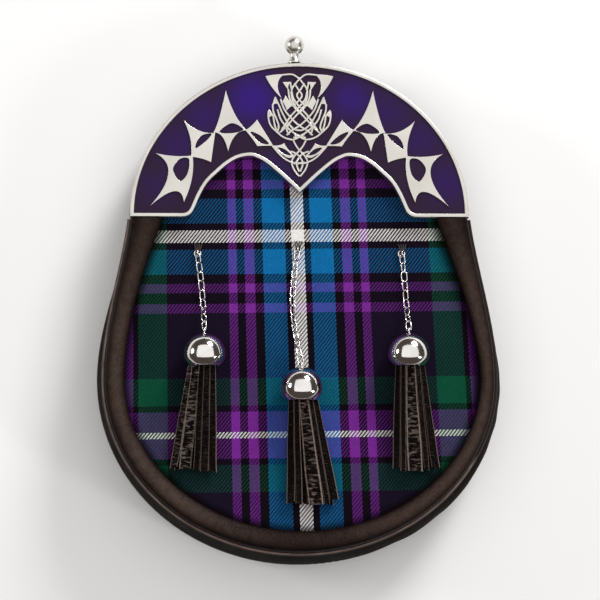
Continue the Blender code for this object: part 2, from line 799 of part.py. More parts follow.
def build_eye(tassel):
    """A washer on the cloth with a standing ring fused to it."""
    centre = (*on_face(tassel["eye"]), CHAIN_LEVEL)
    bpy.ops.mesh.primitive_cylinder_add(vertices=12, radius=EYE_WASHER_RADIUS,
                                        depth=EYE_WASHER_HEIGHT,
                                        location=(centre[0], centre[1],
                                                  GAP + EYE_WASHER_HEIGHT / 2))
    washer = as_mesh(bpy.context.object)
    ring = wire_ring("ring", centre, EYE_RADIUS, RING_WIRE_RADIUS)
    name = "chain_eye_" + tassel["side"]
    finish(combine(name, [washer, ring]), CHROME, FACE)


def chain_route(tassel, samples=60):
    """From the eye's ring along the cloth, and up to the ring on the bell."""
    hook = EYE_RADIUS - WIRE_RADIUS - RING_WIRE_RADIUS - GAP
    eye, bell = on_face(tassel["eye"]), on_face(tassel["bell"])
    start = Vector((eye.x, eye.y - hook, CHAIN_LEVEL))
    end = Vector((bell.x, bell.y + RING_OFFSET + hook, BELL_AXIS))
    route = []
    for i in range(samples + 1):
        t = i / samples
        point = start.lerp(end, t)
        point.x += FRONT_WIDTH / 2 * tassel["bow"] * math.sin(math.pi * t)
        rise = max(0.0, (t - CHAIN_RISE_START) / (1 - CHAIN_RISE_START))
        point.z = start.z + (end.z - start.z) * rise ** 2 * (3 - 2 * rise)
        route.append(point)
    return route


def even_points(route, pitch):
    """Points at an equal distance of about one pitch along a route."""
    lengths = [0.0]
    for a, b in zip(route, route[1:]):
        lengths.append(lengths[-1] + (b - a).length)
    count = max(3, round(lengths[-1] / pitch))
    places = []
    k = 0
    for i in range(count + 1):
        goal = lengths[-1] * i / count
        while k < len(route) - 2 and lengths[k + 1] < goal:
            k += 1
        share = (goal - lengths[k]) / (lengths[k + 1] - lengths[k])
        places.append(route[k].lerp(route[k + 1], share))
    return places


def circle(centre, outward, normal, radius, count):
    turns = [2 * math.pi * i / count for i in range(count)]
    return [centre + (outward * math.cos(turn) + normal * math.sin(turn)) * radius
            for turn in turns]


def build_chain(tassel):
    joints = even_points(chain_route(tassel), LINK_PITCH)
    links = []
    for i, (top, bottom) in enumerate(zip(joints, joints[1:])):
        axis = (bottom - top).normalized()
        side = axis.cross(Vector((0, 0, 1))).normalized()
        front = side.cross(axis)
        turn = math.radians(45 if i % 2 else -45)
        across = side * math.cos(turn) + front * math.sin(turn)
        reach = WIRE_RADIUS - LINK_BITE / 2
        straight = (bottom - top).length / 2 + reach - LINK_HALF_WIDTH
        centre = (top + bottom) / 2
        rings = []
        for end in (1, -1):
            for k in range(LINK_STEPS + 1):
                angle = math.pi * k / LINK_STEPS
                outward = (across * math.cos(angle) + axis * math.sin(angle)) * end
                place = centre + axis * end * straight + outward * LINK_HALF_WIDTH
                rings.append(circle(place, outward, across.cross(axis), WIRE_RADIUS, WIRE_SIDES))
        links.append(loft("link", rings, closed=True))
    finish(combine("chain_" + tassel["side"], links), CHROME, FACE)


def build_bell(tassel):
    """A hollow turned cap lying on the cloth, its ring fused on top."""
    outer = [(BELL_RADIUS * radius, -BELL_LENGTH * down) for down, radius in BELL_PROFILE]
    inner = [(max(0.0, radius - BELL_WALL), height - BELL_WALL)
             for radius, height in outer[1:-1]]
    inner.append((outer[-1][0] - BELL_WALL, outer[-1][1]))
    profile = [(0.0, 0.0)] + outer + list(reversed(inner)) + [(0.0, inner[0][1])]
    cap = screw("cap", profile)
    cap.rotation_euler = (-math.pi / 2, 0, 0)
    top = on_face(tassel["bell"])
    cap.location = (*top, BELL_AXIS)
    cap = as_mesh(cap)
    ring = wire_ring("ring", (top.x, top.y + RING_OFFSET, BELL_AXIS), EYE_RADIUS, RING_WIRE_RADIUS)
    finish(combine("bell_" + tassel["side"], [cap, ring]), CHROME, FACE)


def strip(mouth, end, buried):
    """One leather strip from inside the head to its lying end, as a loft of four sections."""
    start = mouth + Vector((0, buried, 0))
    bend = mouth.lerp(end, STRIP_BEND_LENGTH)
    bend.z = mouth.z + (end.z - mouth.z) * STRIP_BEND_FALL
    rings = []
    for place, share in ((start, 0.0), (mouth, 0.0), (bend, STRIP_BEND_WIDENED), (end, 1.0)):
        width = STRIP_TOP_WIDTH + (STRIP_END_WIDTH - STRIP_TOP_WIDTH) * share
        half, rise = width / 2, STRIP_THICKNESS / 2
        rings.append([place + Vector((x * half, 0, z * rise))
                      for x, z in ((-1, -1), (1, -1), (1, 1), (-1, 1))])
    return loft("strip", rings)


def build_tassel(tassel):
    bell_x, bell_y = on_face(tassel["bell"])
    mouth_y = bell_y - BELL_LENGTH
    head_depth = TASSEL_HEAD_DEPTH * BELL_LENGTH
    bpy.ops.mesh.primitive_cylinder_add(vertices=16, radius=TASSEL_HEAD_RADIUS,
                                        depth=head_depth, rotation=(math.pi / 2, 0, 0),
                                        location=(bell_x, mouth_y + head_depth / 2, BELL_AXIS))
    head = as_mesh(bpy.context.object)
    pieces = [head]
    fan_left = bell_x + FRONT_WIDTH / 2 * tassel["fan_from"]
    fan_right = bell_x + FRONT_WIDTH / 2 * tassel["fan_to"]
    for strips, row in TASSEL_ROWS:
        for i in range(strips):
            place = i - (strips - 1) / 2
            top = Vector((bell_x + place * (STRIP_TOP_WIDTH + GAP), mouth_y,
                          BELL_AXIS + (row - 1) * STRIP_ROW_STEP))
            share = (i + 0.5) / strips if row else i / (strips - 1)
            bottom = Vector((fan_left + (fan_right - fan_left) * share,
                             mouth_y - STRIP_LENGTH * (1 - STRIP_UNEVEN * (i % 2)),
                             GAP + STRIP_THICKNESS / 2 + row * (STRIP_THICKNESS + GAP)))
            pieces.append(strip(top, bottom, head_depth * STRIP_BURIED))
    finish(combine("tassel_" + tassel["side"], pieces), TASSEL_LEATHER, FACE)


def main():
    build_cantle()
    build_finial()
    build_front()
    build_gusset()
    build_back()
    build_flap()
    build_belt_loops()
    for tassel in TASSELS:
        build_eye(tassel)
        build_chain(tassel)
        build_bell(tassel)
        build_tassel(tassel)


main()
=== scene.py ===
import math
import random
from itertools import combinations

import bmesh
import bpy
from mathutils import Matrix, Vector, kdtree, noise


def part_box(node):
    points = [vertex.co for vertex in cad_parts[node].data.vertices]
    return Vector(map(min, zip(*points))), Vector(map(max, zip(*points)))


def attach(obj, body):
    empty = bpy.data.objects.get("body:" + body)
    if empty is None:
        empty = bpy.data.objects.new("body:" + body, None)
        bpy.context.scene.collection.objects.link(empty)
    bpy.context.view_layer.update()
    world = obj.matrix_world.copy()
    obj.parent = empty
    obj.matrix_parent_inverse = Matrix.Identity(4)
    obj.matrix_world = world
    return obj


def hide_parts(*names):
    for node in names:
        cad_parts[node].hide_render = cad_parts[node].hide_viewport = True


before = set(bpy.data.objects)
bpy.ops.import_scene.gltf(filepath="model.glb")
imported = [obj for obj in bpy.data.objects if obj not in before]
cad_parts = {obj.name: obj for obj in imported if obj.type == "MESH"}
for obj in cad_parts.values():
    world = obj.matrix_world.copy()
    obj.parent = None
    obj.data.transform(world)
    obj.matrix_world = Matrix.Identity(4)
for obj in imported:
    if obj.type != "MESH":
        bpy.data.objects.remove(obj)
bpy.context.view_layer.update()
print("frame loaded")

random.seed(7)
gap = 0.0003

# the pouch's driving sizes, in metres, as its solids have them
pouch = dict(
    cantleWidth=0.1615, cantleHeight=0.0745,
    shoulderWidth=0.1604, frontWidth=0.1852, widestDrop=0.0772, frontDrop=0.1591,
    frontFlare=0.8, windowFlare=1.45,
    rollShoulder=0.0152, rollSide=0.0083, rollBottom=0.0102, rollHeight=0.0062,
    lineInset=0.0008, leather=0.002, cloth=0.001,
    faceTop=0.0205, faceBottom=0.038,
    weltRadius=0.004, weltProud=0.0008, rearSpread=0.0035, rearSpreadBottom=0.0065,
    bulge=0.0018,
)

tilt = math.atan((pouch["faceBottom"] - pouch["faceTop"])
                 / (pouch["cantleHeight"] + pouch["frontDrop"]))
faceHeight = pouch["faceTop"] + pouch["cantleHeight"] * math.tan(tilt)
# the welt's lowest corner says where the cantle's lower edge lies
edgeY = (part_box("rear_welt")[0].y + pouch["frontDrop"] + pouch["rearSpreadBottom"]
         + pouch["weltProud"])
faceMatrix = Matrix.Translation((0, edgeY, faceHeight)) @ Matrix.Rotation(-tilt, 4, "X")
bodyMatrix = Matrix.Translation((0, edgeY, 0))
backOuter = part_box("back_panel")[0].z
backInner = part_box("back_panel")[1].z


def srgb(red, green, blue):
    def linear(value):
        value /= 255
        return value / 12.92 if value <= 0.04045 else ((value + 0.055) / 1.055) ** 2.4
    return (linear(red), linear(green), linear(blue), 1.0)


def plain(operation):
    return lambda self, *others: self.sum(operation, self, *others)


def reflected(operation):
    return lambda self, other: self.sum(operation, other, self)


class Wire:
    # a node's output that can be used in sums
    def __init__(self, shade, socket):
        self.shade, self.socket = shade, socket

    def sum(self, operation, *values):
        return self.shade.add("ShaderNodeMath", {"operation": operation}, dict(enumerate(values)))

    __add__, __radd__ = plain("ADD"), reflected("ADD")
    __sub__, __rsub__ = plain("SUBTRACT"), reflected("SUBTRACT")
    __mul__, __rmul__ = plain("MULTIPLY"), reflected("MULTIPLY")
    __truediv__, __rtruediv__ = plain("DIVIDE"), reflected("DIVIDE")
    __lt__, __abs__ = plain("LESS_THAN"), plain("ABSOLUTE")
    floor, fraction, sine = plain("FLOOR"), plain("FRACT"), plain("SINE")
    wrapped, turned = plain("PINGPONG"), plain("FLOORED_MODULO")


class Shade:
    # one material and its nodes
    def __init__(self, name):
        self.material = bpy.data.materials.new(name)
        self.material.use_nodes = True
        self.tree = self.material.node_tree
        self.shader = self.tree.nodes["Principled BSDF"]
        self.where = self.add("ShaderNodeTexCoord", out=3)

    def feed(self, place, value):
        if isinstance(value, Wire):
            self.tree.links.new(value.socket, place)
        else:
            place.default_value = value

    def add(self, kind, settings=None, values=None, out=0):
        node = self.tree.nodes.new(kind)
        for key, value in (settings or {}).items():
            if key == "stops":
                self.setStops(node.color_ramp, value)
            elif key == "interpolation":
                node.color_ramp.interpolation = value
            else:
                setattr(node, key, value)
        for key, value in (values or {}).items():
            self.feed(node.inputs[key], value)
        return Wire(self, node.outputs[out])

    def setStops(self, ramp, stops):
        while len(ramp.elements) < len(stops):
            ramp.elements.new(1.0)
        for element, (position, colour) in zip(ramp.elements, stops):
            element.position = position
            element.color = colour

    def noise(self, scale, detail, rough=0.5, out=0, where=None):
        return self.add("ShaderNodeTexNoise", None,
                        {"Vector": where or self.where, "Scale": scale, "Detail": detail,
                         "Roughness": rough}, out)

    def patches(self, scale, detail, low=0.3, high=0.7, rough=0.5):
        # 0 to 1, in soft patches
        return self.level(self.noise(scale, detail, rough), low, high)

    def mix(self, factor, first, second, blend="MIX"):
        return self.add("ShaderNodeMix", {"data_type": "RGBA", "blend_type": blend},
                        {0: factor, 6: first, 7: second}, 2)

    def ramp(self, factor, stops, interpolation="LINEAR"):
        return self.add("ShaderNodeValToRGB", {"stops": stops, "interpolation": interpolation},
                        {"Fac": factor})

    def level(self, value, low, high, toLow=0.0, toHigh=1.0, way="LINEAR"):
        return self.add("ShaderNodeMapRange", {"interpolation_type": way},
                        {"Value": value, "From Min": low, "From Max": high,
                         "To Min": toLow, "To Max": toHigh})

    def vector(self, operation, *values, out=0):
        return self.add("ShaderNodeVectorMath", {"operation": operation}, dict(enumerate(values)), out)

    def cracks(self, where, scale):
        # distance to the sunk lines between a leather's cells
        return self.add("ShaderNodeTexVoronoi", {"feature": "DISTANCE_TO_EDGE"},
                        {"Vector": where, "Scale": scale})

    def bump(self, height, distance, strength=1.0):
        return self.add("ShaderNodeBump", None,
                        {"Height": height, "Distance": distance, "Strength": strength})

    def parts(self, vector):
        # a vector's first and second part
        first = self.add("ShaderNodeSeparateXYZ", None, {0: vector})
        return first, Wire(self, first.socket.node.outputs[1])

    def layer(self, name):
        # the two values that a UV layer holds
        return self.parts(self.add("ShaderNodeUVMap", {"uv_map": name}))

    def finish(self, **values):
        for key, value in values.items():
            self.feed(self.shader.inputs[socketNames[key]], value)
        return self.material


socketNames = dict(colour="Base Color", rough="Roughness", metal="Metallic", normal="Normal",
                   coat="Coat Weight", coatRough="Coat Roughness", sheen="Sheen Weight",
                   sheenRough="Sheen Roughness", specular="Specular IOR Level")


def grey(value):
    return (value, value, value, 1.0)


# leather: pebbled grain of cells with sunk lines, tone that varies, and on the roll a painted
# highlight along its crest
leatherLook = dict(
    # the roll's third, pale colour is a painted highlight on its crest
    roll=dict(dark=srgb(10, 3, 2), light=srgb(26, 14, 11), paintedHighlight=srgb(78, 64, 58), cells=900,
              depth=0.00012, rough=0.38, shine=0.05),
    body=dict(dark=srgb(11, 4, 3), light=srgb(24, 13, 11), cells=1000, depth=0.0001, rough=0.6,
              shine=0.02),
    back=dict(dark=srgb(24, 14, 11), light=srgb(56, 39, 33), cells=1000, depth=0.00016, rough=0.46,
              shine=0.15),
    # the tassel's rib colour is a painted highlight on its ribs
    tassel=dict(dark=srgb(3, 0, 0), light=srgb(17, 9, 7), rib=srgb(94, 82, 75),
                edge=srgb(128, 113, 104), cells=800, depth=0.0002, rough=0.26, shine=0.05),
)


def leatherMaterial(name):
    look = leatherLook[name]
    shade = Shade(name + "_leather")
    bend = shade.noise(260, 2.0, out=1)
    warped = shade.vector("MULTIPLY_ADD", bend, (0.0016, 0.0016, 0.0016), shade.where)
    grain = shade.level(shade.cracks(warped, look["cells"]), 0.0, 0.22)
    pores = shade.noise(4200, 2.0)
    mottle = shade.patches(55, 4.0)
    base = shade.mix(mottle * 0.55 + grain * 0.3, look["dark"], look["light"])
    if "paintedHighlight" in look:
        # painted highlight: paler on the crest of the roll, broken up by streaks and mottle
        crest = shade.layer("crest")[0]
        streak = shade.patches(330, 4.0, rough=0.7)
        highlightShare = crest * (0.2 + mottle * 0.2 + streak * 0.4 + grain * 0.2)
        base = shade.mix(highlightShare, base, look["paintedHighlight"])
    height = grain * 0.8 + pores * 0.25
    rough = look["rough"] + mottle * 0.12 - grain * 0.1
    return shade.finish(colour=base, rough=rough, normal=shade.bump(height, look["depth"], 0.9),
                        specular=look["shine"])


# the cord in the seam: dark at its foot, with a painted highlight along its crest
pipingLook = dict(foot=srgb(34, 24, 21), pale=srgb(104, 86, 80), palest=srgb(146, 126, 119),
                  crestFrom=0.72, crestTo=0.96, rough=0.42, fibreDepth=0.00008)


def pipingMaterial():
    look = pipingLook
    shade = Shade("piping_leather")
    tone = shade.patches(120, 4.0)
    fibre = shade.noise(2600, 3.0)
    crest = shade.layer("crest")[0]
    # painted highlight: the pale colours along the cord's crest
    base = shade.mix(shade.level(crest, look["crestFrom"], look["crestTo"]), look["foot"],
                     shade.mix(tone, look["pale"], look["palest"]))
    return shade.finish(colour=base, rough=look["rough"] + tone * 0.12, specular=0.2,
                        normal=shade.bump(fibre, look["fibreDepth"], 0.5))


threadLook = dict(dark=srgb(30, 22, 19), light=srgb(74, 61, 55), twist=3000, depth=0.0001)


def threadMaterial():
    look = threadLook
    shade = Shade("stitch_thread")
    twist = shade.noise(look["twist"], 2.0)
    return shade.finish(colour=shade.mix(twist, look["dark"], look["light"]), rough=0.7,
                        normal=shade.bump(twist, look["depth"], 0.6))


# metal: polished, with a soft haze of fine scratches; the noise that dents it, the haze's size
# and where it begins and ends
metalLook = dict(
    silver=dict(name="cantle_silver", bright=srgb(224, 222, 215), dull=srgb(205, 202, 194),
                dents=(900, 3.0), haze=60, hazeFrom=0.3, hazeTo=0.75, rough=0.24, hazeRough=0.12,
                depth=0.00004, strength=0.35),
    chrome=dict(name="bright_chrome", bright=srgb(236, 234, 232), dull=srgb(214, 208, 202),
                dents=(500, 4.0), haze=90, hazeFrom=0.4, hazeTo=0.8, rough=0.1, hazeRough=0.08,
                depth=0.00002, strength=0.25),
)


def metalMaterial(kind):
    look = metalLook[kind]
    shade = Shade(look["name"])
    dents = shade.noise(*look["dents"])
    haze = shade.patches(look["haze"], 3.0, look["hazeFrom"], look["hazeTo"])
    return shade.finish(colour=shade.mix(haze, look["bright"], look["dull"]), metal=1.0,
                        rough=look["rough"] + haze * look["hazeRough"],
                        normal=shade.bump(dents, look["depth"], look["strength"]))


# enamel: glassy violet over a cast ground; its brighter patches are across and up from the
# cantle's lower edge and radius in millimetres, then strength
enamelLook = dict(dark=srgb(41, 23, 48), violet=srgb(43, 20, 80), glow=srgb(47, 17, 114), cast=1100,
                  patches=[(-22.0, 57.5, 22, 1.0), (-45.2, 48.6, 17, 0.55), (-58.9, 34.4, 15, 0.45),
                           (24.6, 56.9, 18, 0.8), (43.0, 50.1, 16, 0.45), (58.0, 38.0, 16, 0.4),
                           (71.8, 16.4, 17, 0.45), (-9.0, 25.0, 15, 0.3), (-68.0, 14.0, 14, 0.25)])
millimetre = 0.001


def enamelMaterial():
    look = enamelLook
    shade = Shade("violet_enamel")
    flat = shade.vector("MULTIPLY", shade.where, (1, 1, 0))
    patch = (shade.noise(60, 2.0) - 0.5) * 0.25
    for x, y, radius, strength in look["patches"]:
        middle = (x * millimetre, edgeY + y * millimetre, 0)
        away = shade.vector("DISTANCE", flat, middle, out=1)
        patch = patch + shade.level(away, 0.0, radius * millimetre, strength, 0.0, "SMOOTHSTEP")
    base = shade.ramp(patch, [(0.0, look["dark"]), (0.5, look["violet"]), (0.95, look["glow"])])
    grit = shade.noise(look["cast"], 3.0)
    tone = shade.level(grit, 0.3, 0.7, 0.82, 1.08)
    speckled = shade.mix(0.4, base, shade.mix(tone, grey(0.0), base))
    return shade.finish(colour=speckled, rough=0.34 + grit * 0.1, coat=0.05, specular=0.1,
                        normal=shade.bump(grit, 0.00008, 0.35))


# tartan: one symmetric half of the stripes, as ends in millimetres from its middle line
tartanLook = dict(
    white=srgb(240, 237, 234), black=srgb(10, 4, 10), navy=srgb(22, 12, 32),
    azure=srgb(12, 108, 166), purple=srgb(120, 42, 146), green=srgb(10, 76, 54),
    across=[("white", 3.0), ("black", 5.9), ("azure", 17.1), ("black", 21.2), ("purple", 26.1),
            ("black", 29.9), ("purple", 34.0), ("navy", 63.7), ("green", 77.5), ("black", 79.9),
            ("purple", 88.0)],
    down=[("white", 2.75), ("black", 6.1), ("azure", 17.8), ("black", 22.4), ("purple", 27.0),
          ("black", 32.0), ("purple", 36.5), ("navy", 67.5), ("green", 80.6), ("black", 83.6),
          ("purple", 93.2), ("white", 94.9)],
    middleX=-0.0006, middleDrop=0.00825, thread=0.000425, weftShare=1.22, stray=0.00022,
    # the last two give the painted shade near the roll's edge: its width and its darkest level
    beside=0.42, warpShare=0.13, seamShadeWidth=0.0045, seamShadeTone=0.2,
)


def stripeStops(stripes):
    length = stripes[-1][1]
    starts = [0.0] + [end for name, end in stripes[:-1]]
    return [(start / length, tartanLook[name]) for (name, end), start in zip(stripes, starts)]


def tartanMaterial():
    look = tartanLook
    shade = Shade("tartan_twill")
    stray = (shade.noise(700, 2.0) - 0.5) * look["stray"]
    x, y = (part + stray for part in shade.layer("cloth"))
    halfX, halfY = (look[way][-1][1] * millimetre for way in ("across", "down"))
    warpPlace = (x - look["middleX"]).wrapped(halfX) / halfX
    weftPlace = (y + look["middleDrop"]).wrapped(halfY) / halfY
    warp = shade.ramp(warpPlace, stripeStops(look["across"]), "CONSTANT")
    weft = shade.ramp(weftPlace, stripeStops(look["down"]), "CONSTANT")
    # 2 over 2 twill: which thread lies on top, and how round it stands
    across, down = x / look["thread"], y / (look["thread"] * look["weftShare"])
    over = (across.floor() - down.floor()).turned(4) < 1.5
    warpRound, weftRound = ((way.fraction() * math.pi).sine() for way in (across, down))
    floating = abs(((across - down).turned(4) - 1.0).turned(2) - 1.0)
    height = (over * warpRound + (1 - over) * weftRound) * 0.6 + floating * 0.4
    tone = shade.level(shade.noise(900, 3.0), 0.25, 0.75, 0.86, 1.12)
    # painted shade: darker where the weave's height is low, towards each thread's sides
    tone = tone * shade.level(height, 0.0, 1.0, 0.62, 1.12)
    # a thread looks darker where a dark one lies beside it, but a white one less so
    thread = shade.mix(over, weft, warp)
    pale = shade.level(shade.parts(thread)[0], 0.3, 0.8)
    beside = (1 - pale * 0.75) * look["beside"]
    woven = shade.mix(beside, thread, shade.mix(1.0, weft, warp, "DARKEN"))
    woven = shade.mix(look["warpShare"], woven, warp)
    # painted shade: darker near the roll's inner edge, where the cloth runs under the roll
    inside = shade.layer("seam")[0]
    paintedSeamShade = shade.level(inside + stray * 3, 0.0, look["seamShadeWidth"], look["seamShadeTone"], 1.0,
                       "SMOOTHSTEP")
    lit = shade.add("ShaderNodeVectorMath", {"operation": "SCALE"},
                    {0: woven, "Scale": tone * paintedSeamShade})
    fuzz = shade.noise(2600, 3.0)
    return shade.finish(colour=lit, rough=0.9, sheen=0.03, sheenRough=0.5, specular=0.06,
                        normal=shade.bump(height + fuzz * 0.3, 0.00012, 0.8))


def stripMaterial():
    # tassel leather: creased face, ribs across it painted pale as glints, pale cut edges
    look = leatherLook["tassel"]
    shade = Shade("strip_leather")
    edge, ribbed = shade.layer("strip")
    creased = shade.vector("MULTIPLY", shade.where, (0.45, 1.5, 1.0))
    grain = shade.level(shade.cracks(creased, look["cells"]), 0.0, 0.25)
    tone = shade.patches(140, 4.0)
    across = shade.vector("MULTIPLY", shade.where, (300, 950, 200))
    rib = shade.level(shade.noise(1.0, 1.0, where=across), 0.5, 0.72) * ribbed * ribbed
    face = shade.mix(grain * 0.6 + tone * 0.25, look["dark"], look["light"])
    # painted highlight: the ribs are coloured pale, as glints
    base = shade.mix(edge, shade.mix(rib, face, look["rib"]), look["edge"])
    height = (grain + rib) * (1 - edge) + tone * 0.2
    return shade.finish(colour=base, rough=look["rough"] + tone * 0.16, specular=look["shine"],
                        coat=rib * 0.5, coatRough=0.2, normal=shade.bump(height, look["depth"]))


materials = dict(
    silver=metalMaterial("silver"), chrome=metalMaterial("chrome"), enamel=enamelMaterial(),
    tartan=tartanMaterial(), roll=leatherMaterial("roll"), body=leatherMaterial("body"),
    back=leatherMaterial("back"), piping=pipingMaterial(), thread=threadMaterial(),
    strip=stripMaterial(),
)
print("materials made")


def dress(obj, material, nodes=(), smooth=60):
    obj.data.materials.clear()
    obj.data.materials.append(materials[material])
    obj.data.shade_smooth()
    obj.data.set_sharp_from_angle(angle=math.radians(smooth))
    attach(obj, "root")
    if nodes:
        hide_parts(*nodes)


def inScene(name, data):
    obj = bpy.data.objects.new(name, data)
    bpy.context.scene.collection.objects.link(obj)
    return obj


def mend(mesh, distance=0.0):
    # welds what lies within the distance and turns the faces outwards
    shape = bmesh.new()
    shape.from_mesh(mesh)
    if distance:
        bmesh.ops.remove_doubles(shape, verts=shape.verts, dist=distance)
        bmesh.ops.dissolve_degenerate(shape, edges=shape.edges, dist=distance)
    bmesh.ops.recalc_face_normals(shape, faces=shape.faces)
    shape.to_mesh(mesh)
    shape.free()


def weld(obj):
    mend(obj.data, 0.000005)
    return obj


def addMesh(name, points, faces, matrix=Matrix(), **layers):
    # layers hold two values for each point, which a material reads
    mesh = bpy.data.meshes.new(name)
    mesh.from_pydata([tuple(matrix @ Vector(point)) for point in points], [], faces)
    for key, values in layers.items():
        layer = mesh.uv_layers.new(name=key)
        for loop in mesh.loops:
            layer.data[loop.index].uv = values[loop.vertex_index]
    mend(mesh)
    return inScene(name, mesh)


def thicken(obj, thickness, offset):
    wall = obj.modifiers.new("thickness", "SOLIDIFY")
    wall.thickness = thickness
    wall.offset = offset


def quads(rows, wrapped=False, closed=False):
    # faces between equal rows of points; wrapped joins a row's ends, closed the outer rows
    count = len(rows[0])
    points = [point for row in rows for point in row]
    faces = []
    for i in range(len(rows) if closed else len(rows) - 1):
        this, after = i * count, (i + 1) % len(rows) * count
        for k in range(count if wrapped else count - 1):
            side = (k + 1) % count
            faces.append((this + k, this + side, after + side, after + k))
    return points, faces


def skin(rings, closed=False):
    # faces over equal closed rings of points, with flat ends
    points, faces = quads(rings, True, closed)
    if not closed:
        count = len(rings[0])
        faces.append(tuple(range(count)))
        faces.append(tuple(len(points) - count + k for k in range(count)))
    return points, faces


def merge(parts):
    # several (points, faces) as one
    points, faces = [], []
    for some, their in parts:
        start = len(points)
        points += some
        faces += [tuple(start + k for k in face) for face in their]
    return points, faces


def bentThrough(places, steps):
    # points from the second place on towards the third, on a curve through all four
    a, b, c, d = (Vector(place) for place in places)
    points = []
    for k in range(steps):
        t = k / steps
        points.append(0.5 * (2 * b + (c - a) * t + (2 * a - 5 * b + 4 * c - d) * t ** 2
                             + (3 * b - a - 3 * c + d) * t ** 3))
    return points


def smoothRoute(points, steps):
    ends = [points[0]] + list(points) + [points[-1]]
    route = []
    for i in range(len(points) - 1):
        route += bentThrough(ends[i:i + 4], steps)
    return route + [Vector(points[-1])]


def pulled(a, pull, b, steps):
    # points from a on towards b, on a curve that is pulled aside
    return [a * (1 - t) ** 2 + pull * 2 * t * (1 - t) + b * t ** 2
            for t in (k / steps for k in range(steps))]


def eased(share):
    return share ** 2 * (3 - 2 * share)


def between(a, b, share):
    return a + (b - a) * share


def arc(wide, high, start, end, steps):
    # places on an ellipse from one angle to another
    return [(wide * math.cos(turn), high * math.sin(turn))
            for turn in (between(start, end, i / steps) for i in range(steps + 1))]


def circle(centre, side, rise, radius, count):
    return [centre + (side * math.cos(turn) + rise * math.sin(turn)) * radius
            for turn in (2 * math.pi * k / count for k in range(count))]


def tubeRings(route, radius, count=8, closed=False, up=Vector((0, 0, 1))):
    # rings round a route
    rings = []
    for i, place in enumerate(route):
        before = route[i - 1] if i or closed else route[0]
        after = route[(i + 1) % len(route)] if i + 1 < len(route) or closed else route[-1]
        along = (after - before).normalized()
        side = along.cross(up).normalized()
        rings.append(circle(place, side, side.cross(along), radius, count))
    return rings


def turned(profile, matrix, steps):
    # a profile of (radius, height) turned about Z, its ends on the axis or on each other
    rows = []
    for k in range(steps):
        turn = 2 * math.pi * k / steps
        rows.append([matrix @ Vector((radius * math.cos(turn), radius * math.sin(turn), height))
                     for radius, height in profile])
    return quads(rows, closed=True)


def flatShape(name, outlines, low, high, matrix, bevel=0.0):
    # a filled outline with holes, from one level to another, its edges rounded
    curve = bpy.data.curves.new(name, "CURVE")
    curve.dimensions = "2D"
    curve.fill_mode = "BOTH"
    curve.extrude = (high - low) / 2 - bevel
    curve.bevel_depth = bevel
    curve.bevel_resolution = 3
    curve.offset = -bevel
    for outline in outlines:
        spline = curve.splines.new("POLY")
        spline.points.add(len(outline) - 1)
        for point, place in zip(spline.points, outline):
            point.co = (place[0], place[1], 0.0, 1.0)
        spline.use_cyclic_u = True
    source = inScene(name + "_source", curve)
    bpy.context.view_layer.update()
    graph = bpy.context.evaluated_depsgraph_get()
    mesh = bpy.data.meshes.new_from_object(source.evaluated_get(graph))
    mesh.transform(matrix @ Matrix.Translation((0, 0, (high + low) / 2)))
    bpy.data.objects.remove(source, do_unlink=True)
    return weld(inScene(name, mesh))


def joined(name, objects):
    # one object of several meshes
    shape = bmesh.new()
    for obj in objects:
        shape.from_mesh(obj.data)
        bpy.data.objects.remove(obj, do_unlink=True)
    mesh = bpy.data.meshes.new(name)
    shape.to_mesh(mesh)
    shape.free()
    return inScene(name, mesh)


def crease(place, shape):
    # how far a soft surface swells there
    return noise.noise(Vector(place) / shape["creaseSize"]) * shape["creaseDepth"]


def atLevel(line, level):
    return [Vector((x, y, level)) for x, y in line]


class Outline:
    # half ellipse over the cantle's lower edge, flanks and a round bottom below it
    def __init__(self, crown, crownHeight, shoulder, widest, widestDrop, drop, flare):
        self.crown, self.crownHeight = crown, crownHeight
        self.shoulder, self.widest = shoulder, widest
        self.widestDrop, self.drop, self.flare = widestDrop, drop, flare

    def grown(self, by):
        return Outline(self.crown + by, self.crownHeight + by, self.shoulder + by,
                       self.widest + by, self.widestDrop, self.drop + by, self.flare)

    def halfWidth(self, drop):
        share = drop / self.widestDrop
        swell = self.flare * share * (1 - share) ** 2 + eased(share)
        return between(self.shoulder, self.widest, swell)

    def lower(self, top, flank, bottom):
        drops = [between(top, self.widestDrop, i / flank) for i in range(flank)]
        side = [(-self.halfWidth(drop), -drop) for drop in drops]
        low = arc(-self.widest, self.widestDrop - self.drop, 0, math.pi, bottom)
        low = [(x, y - self.widestDrop) for x, y in low]
        return side + low + [(-x, y) for x, y in reversed(side)]

    def closed(self, crown, flank, bottom):
        # counter-clockwise from the left shoulder, with steps over the crown and down each part
        over = arc(self.crown, self.crownHeight, 0, math.pi, crown)[1:-1]
        return self.lower(0.0, flank, bottom) + over


halfCantle = pouch["cantleWidth"] / 2
front = Outline(halfCantle, pouch["cantleHeight"], pouch["shoulderWidth"] / 2,
                pouch["frontWidth"] / 2, pouch["widestDrop"], pouch["frontDrop"],
                pouch["frontFlare"])
window = Outline(halfCantle, pouch["cantleHeight"], front.shoulder - pouch["rollShoulder"],
                 front.widest - pouch["rollSide"], pouch["widestDrop"],
                 front.drop - pouch["rollBottom"], pouch["windowFlare"])
inset = pouch["lineInset"]
rear = Outline(front.crown - inset, front.crownHeight - inset, front.shoulder - inset,
               front.widest + pouch["rearSpread"], pouch["widestDrop"],
               front.drop + pouch["rearSpreadBottom"], pouch["frontFlare"])
windowShift = dict(across=0.0012, drop=0.09)


def windowLine(top, flank, bottom):
    # the roll's inner edge, which lies a little to the right at the bottom
    line = []
    for x, y in window.lower(top, flank, bottom):
        share = min(1.0, max(0.0, -y / windowShift["drop"]))
        line.append((x + windowShift["across"] * eased(share), y))
    return line


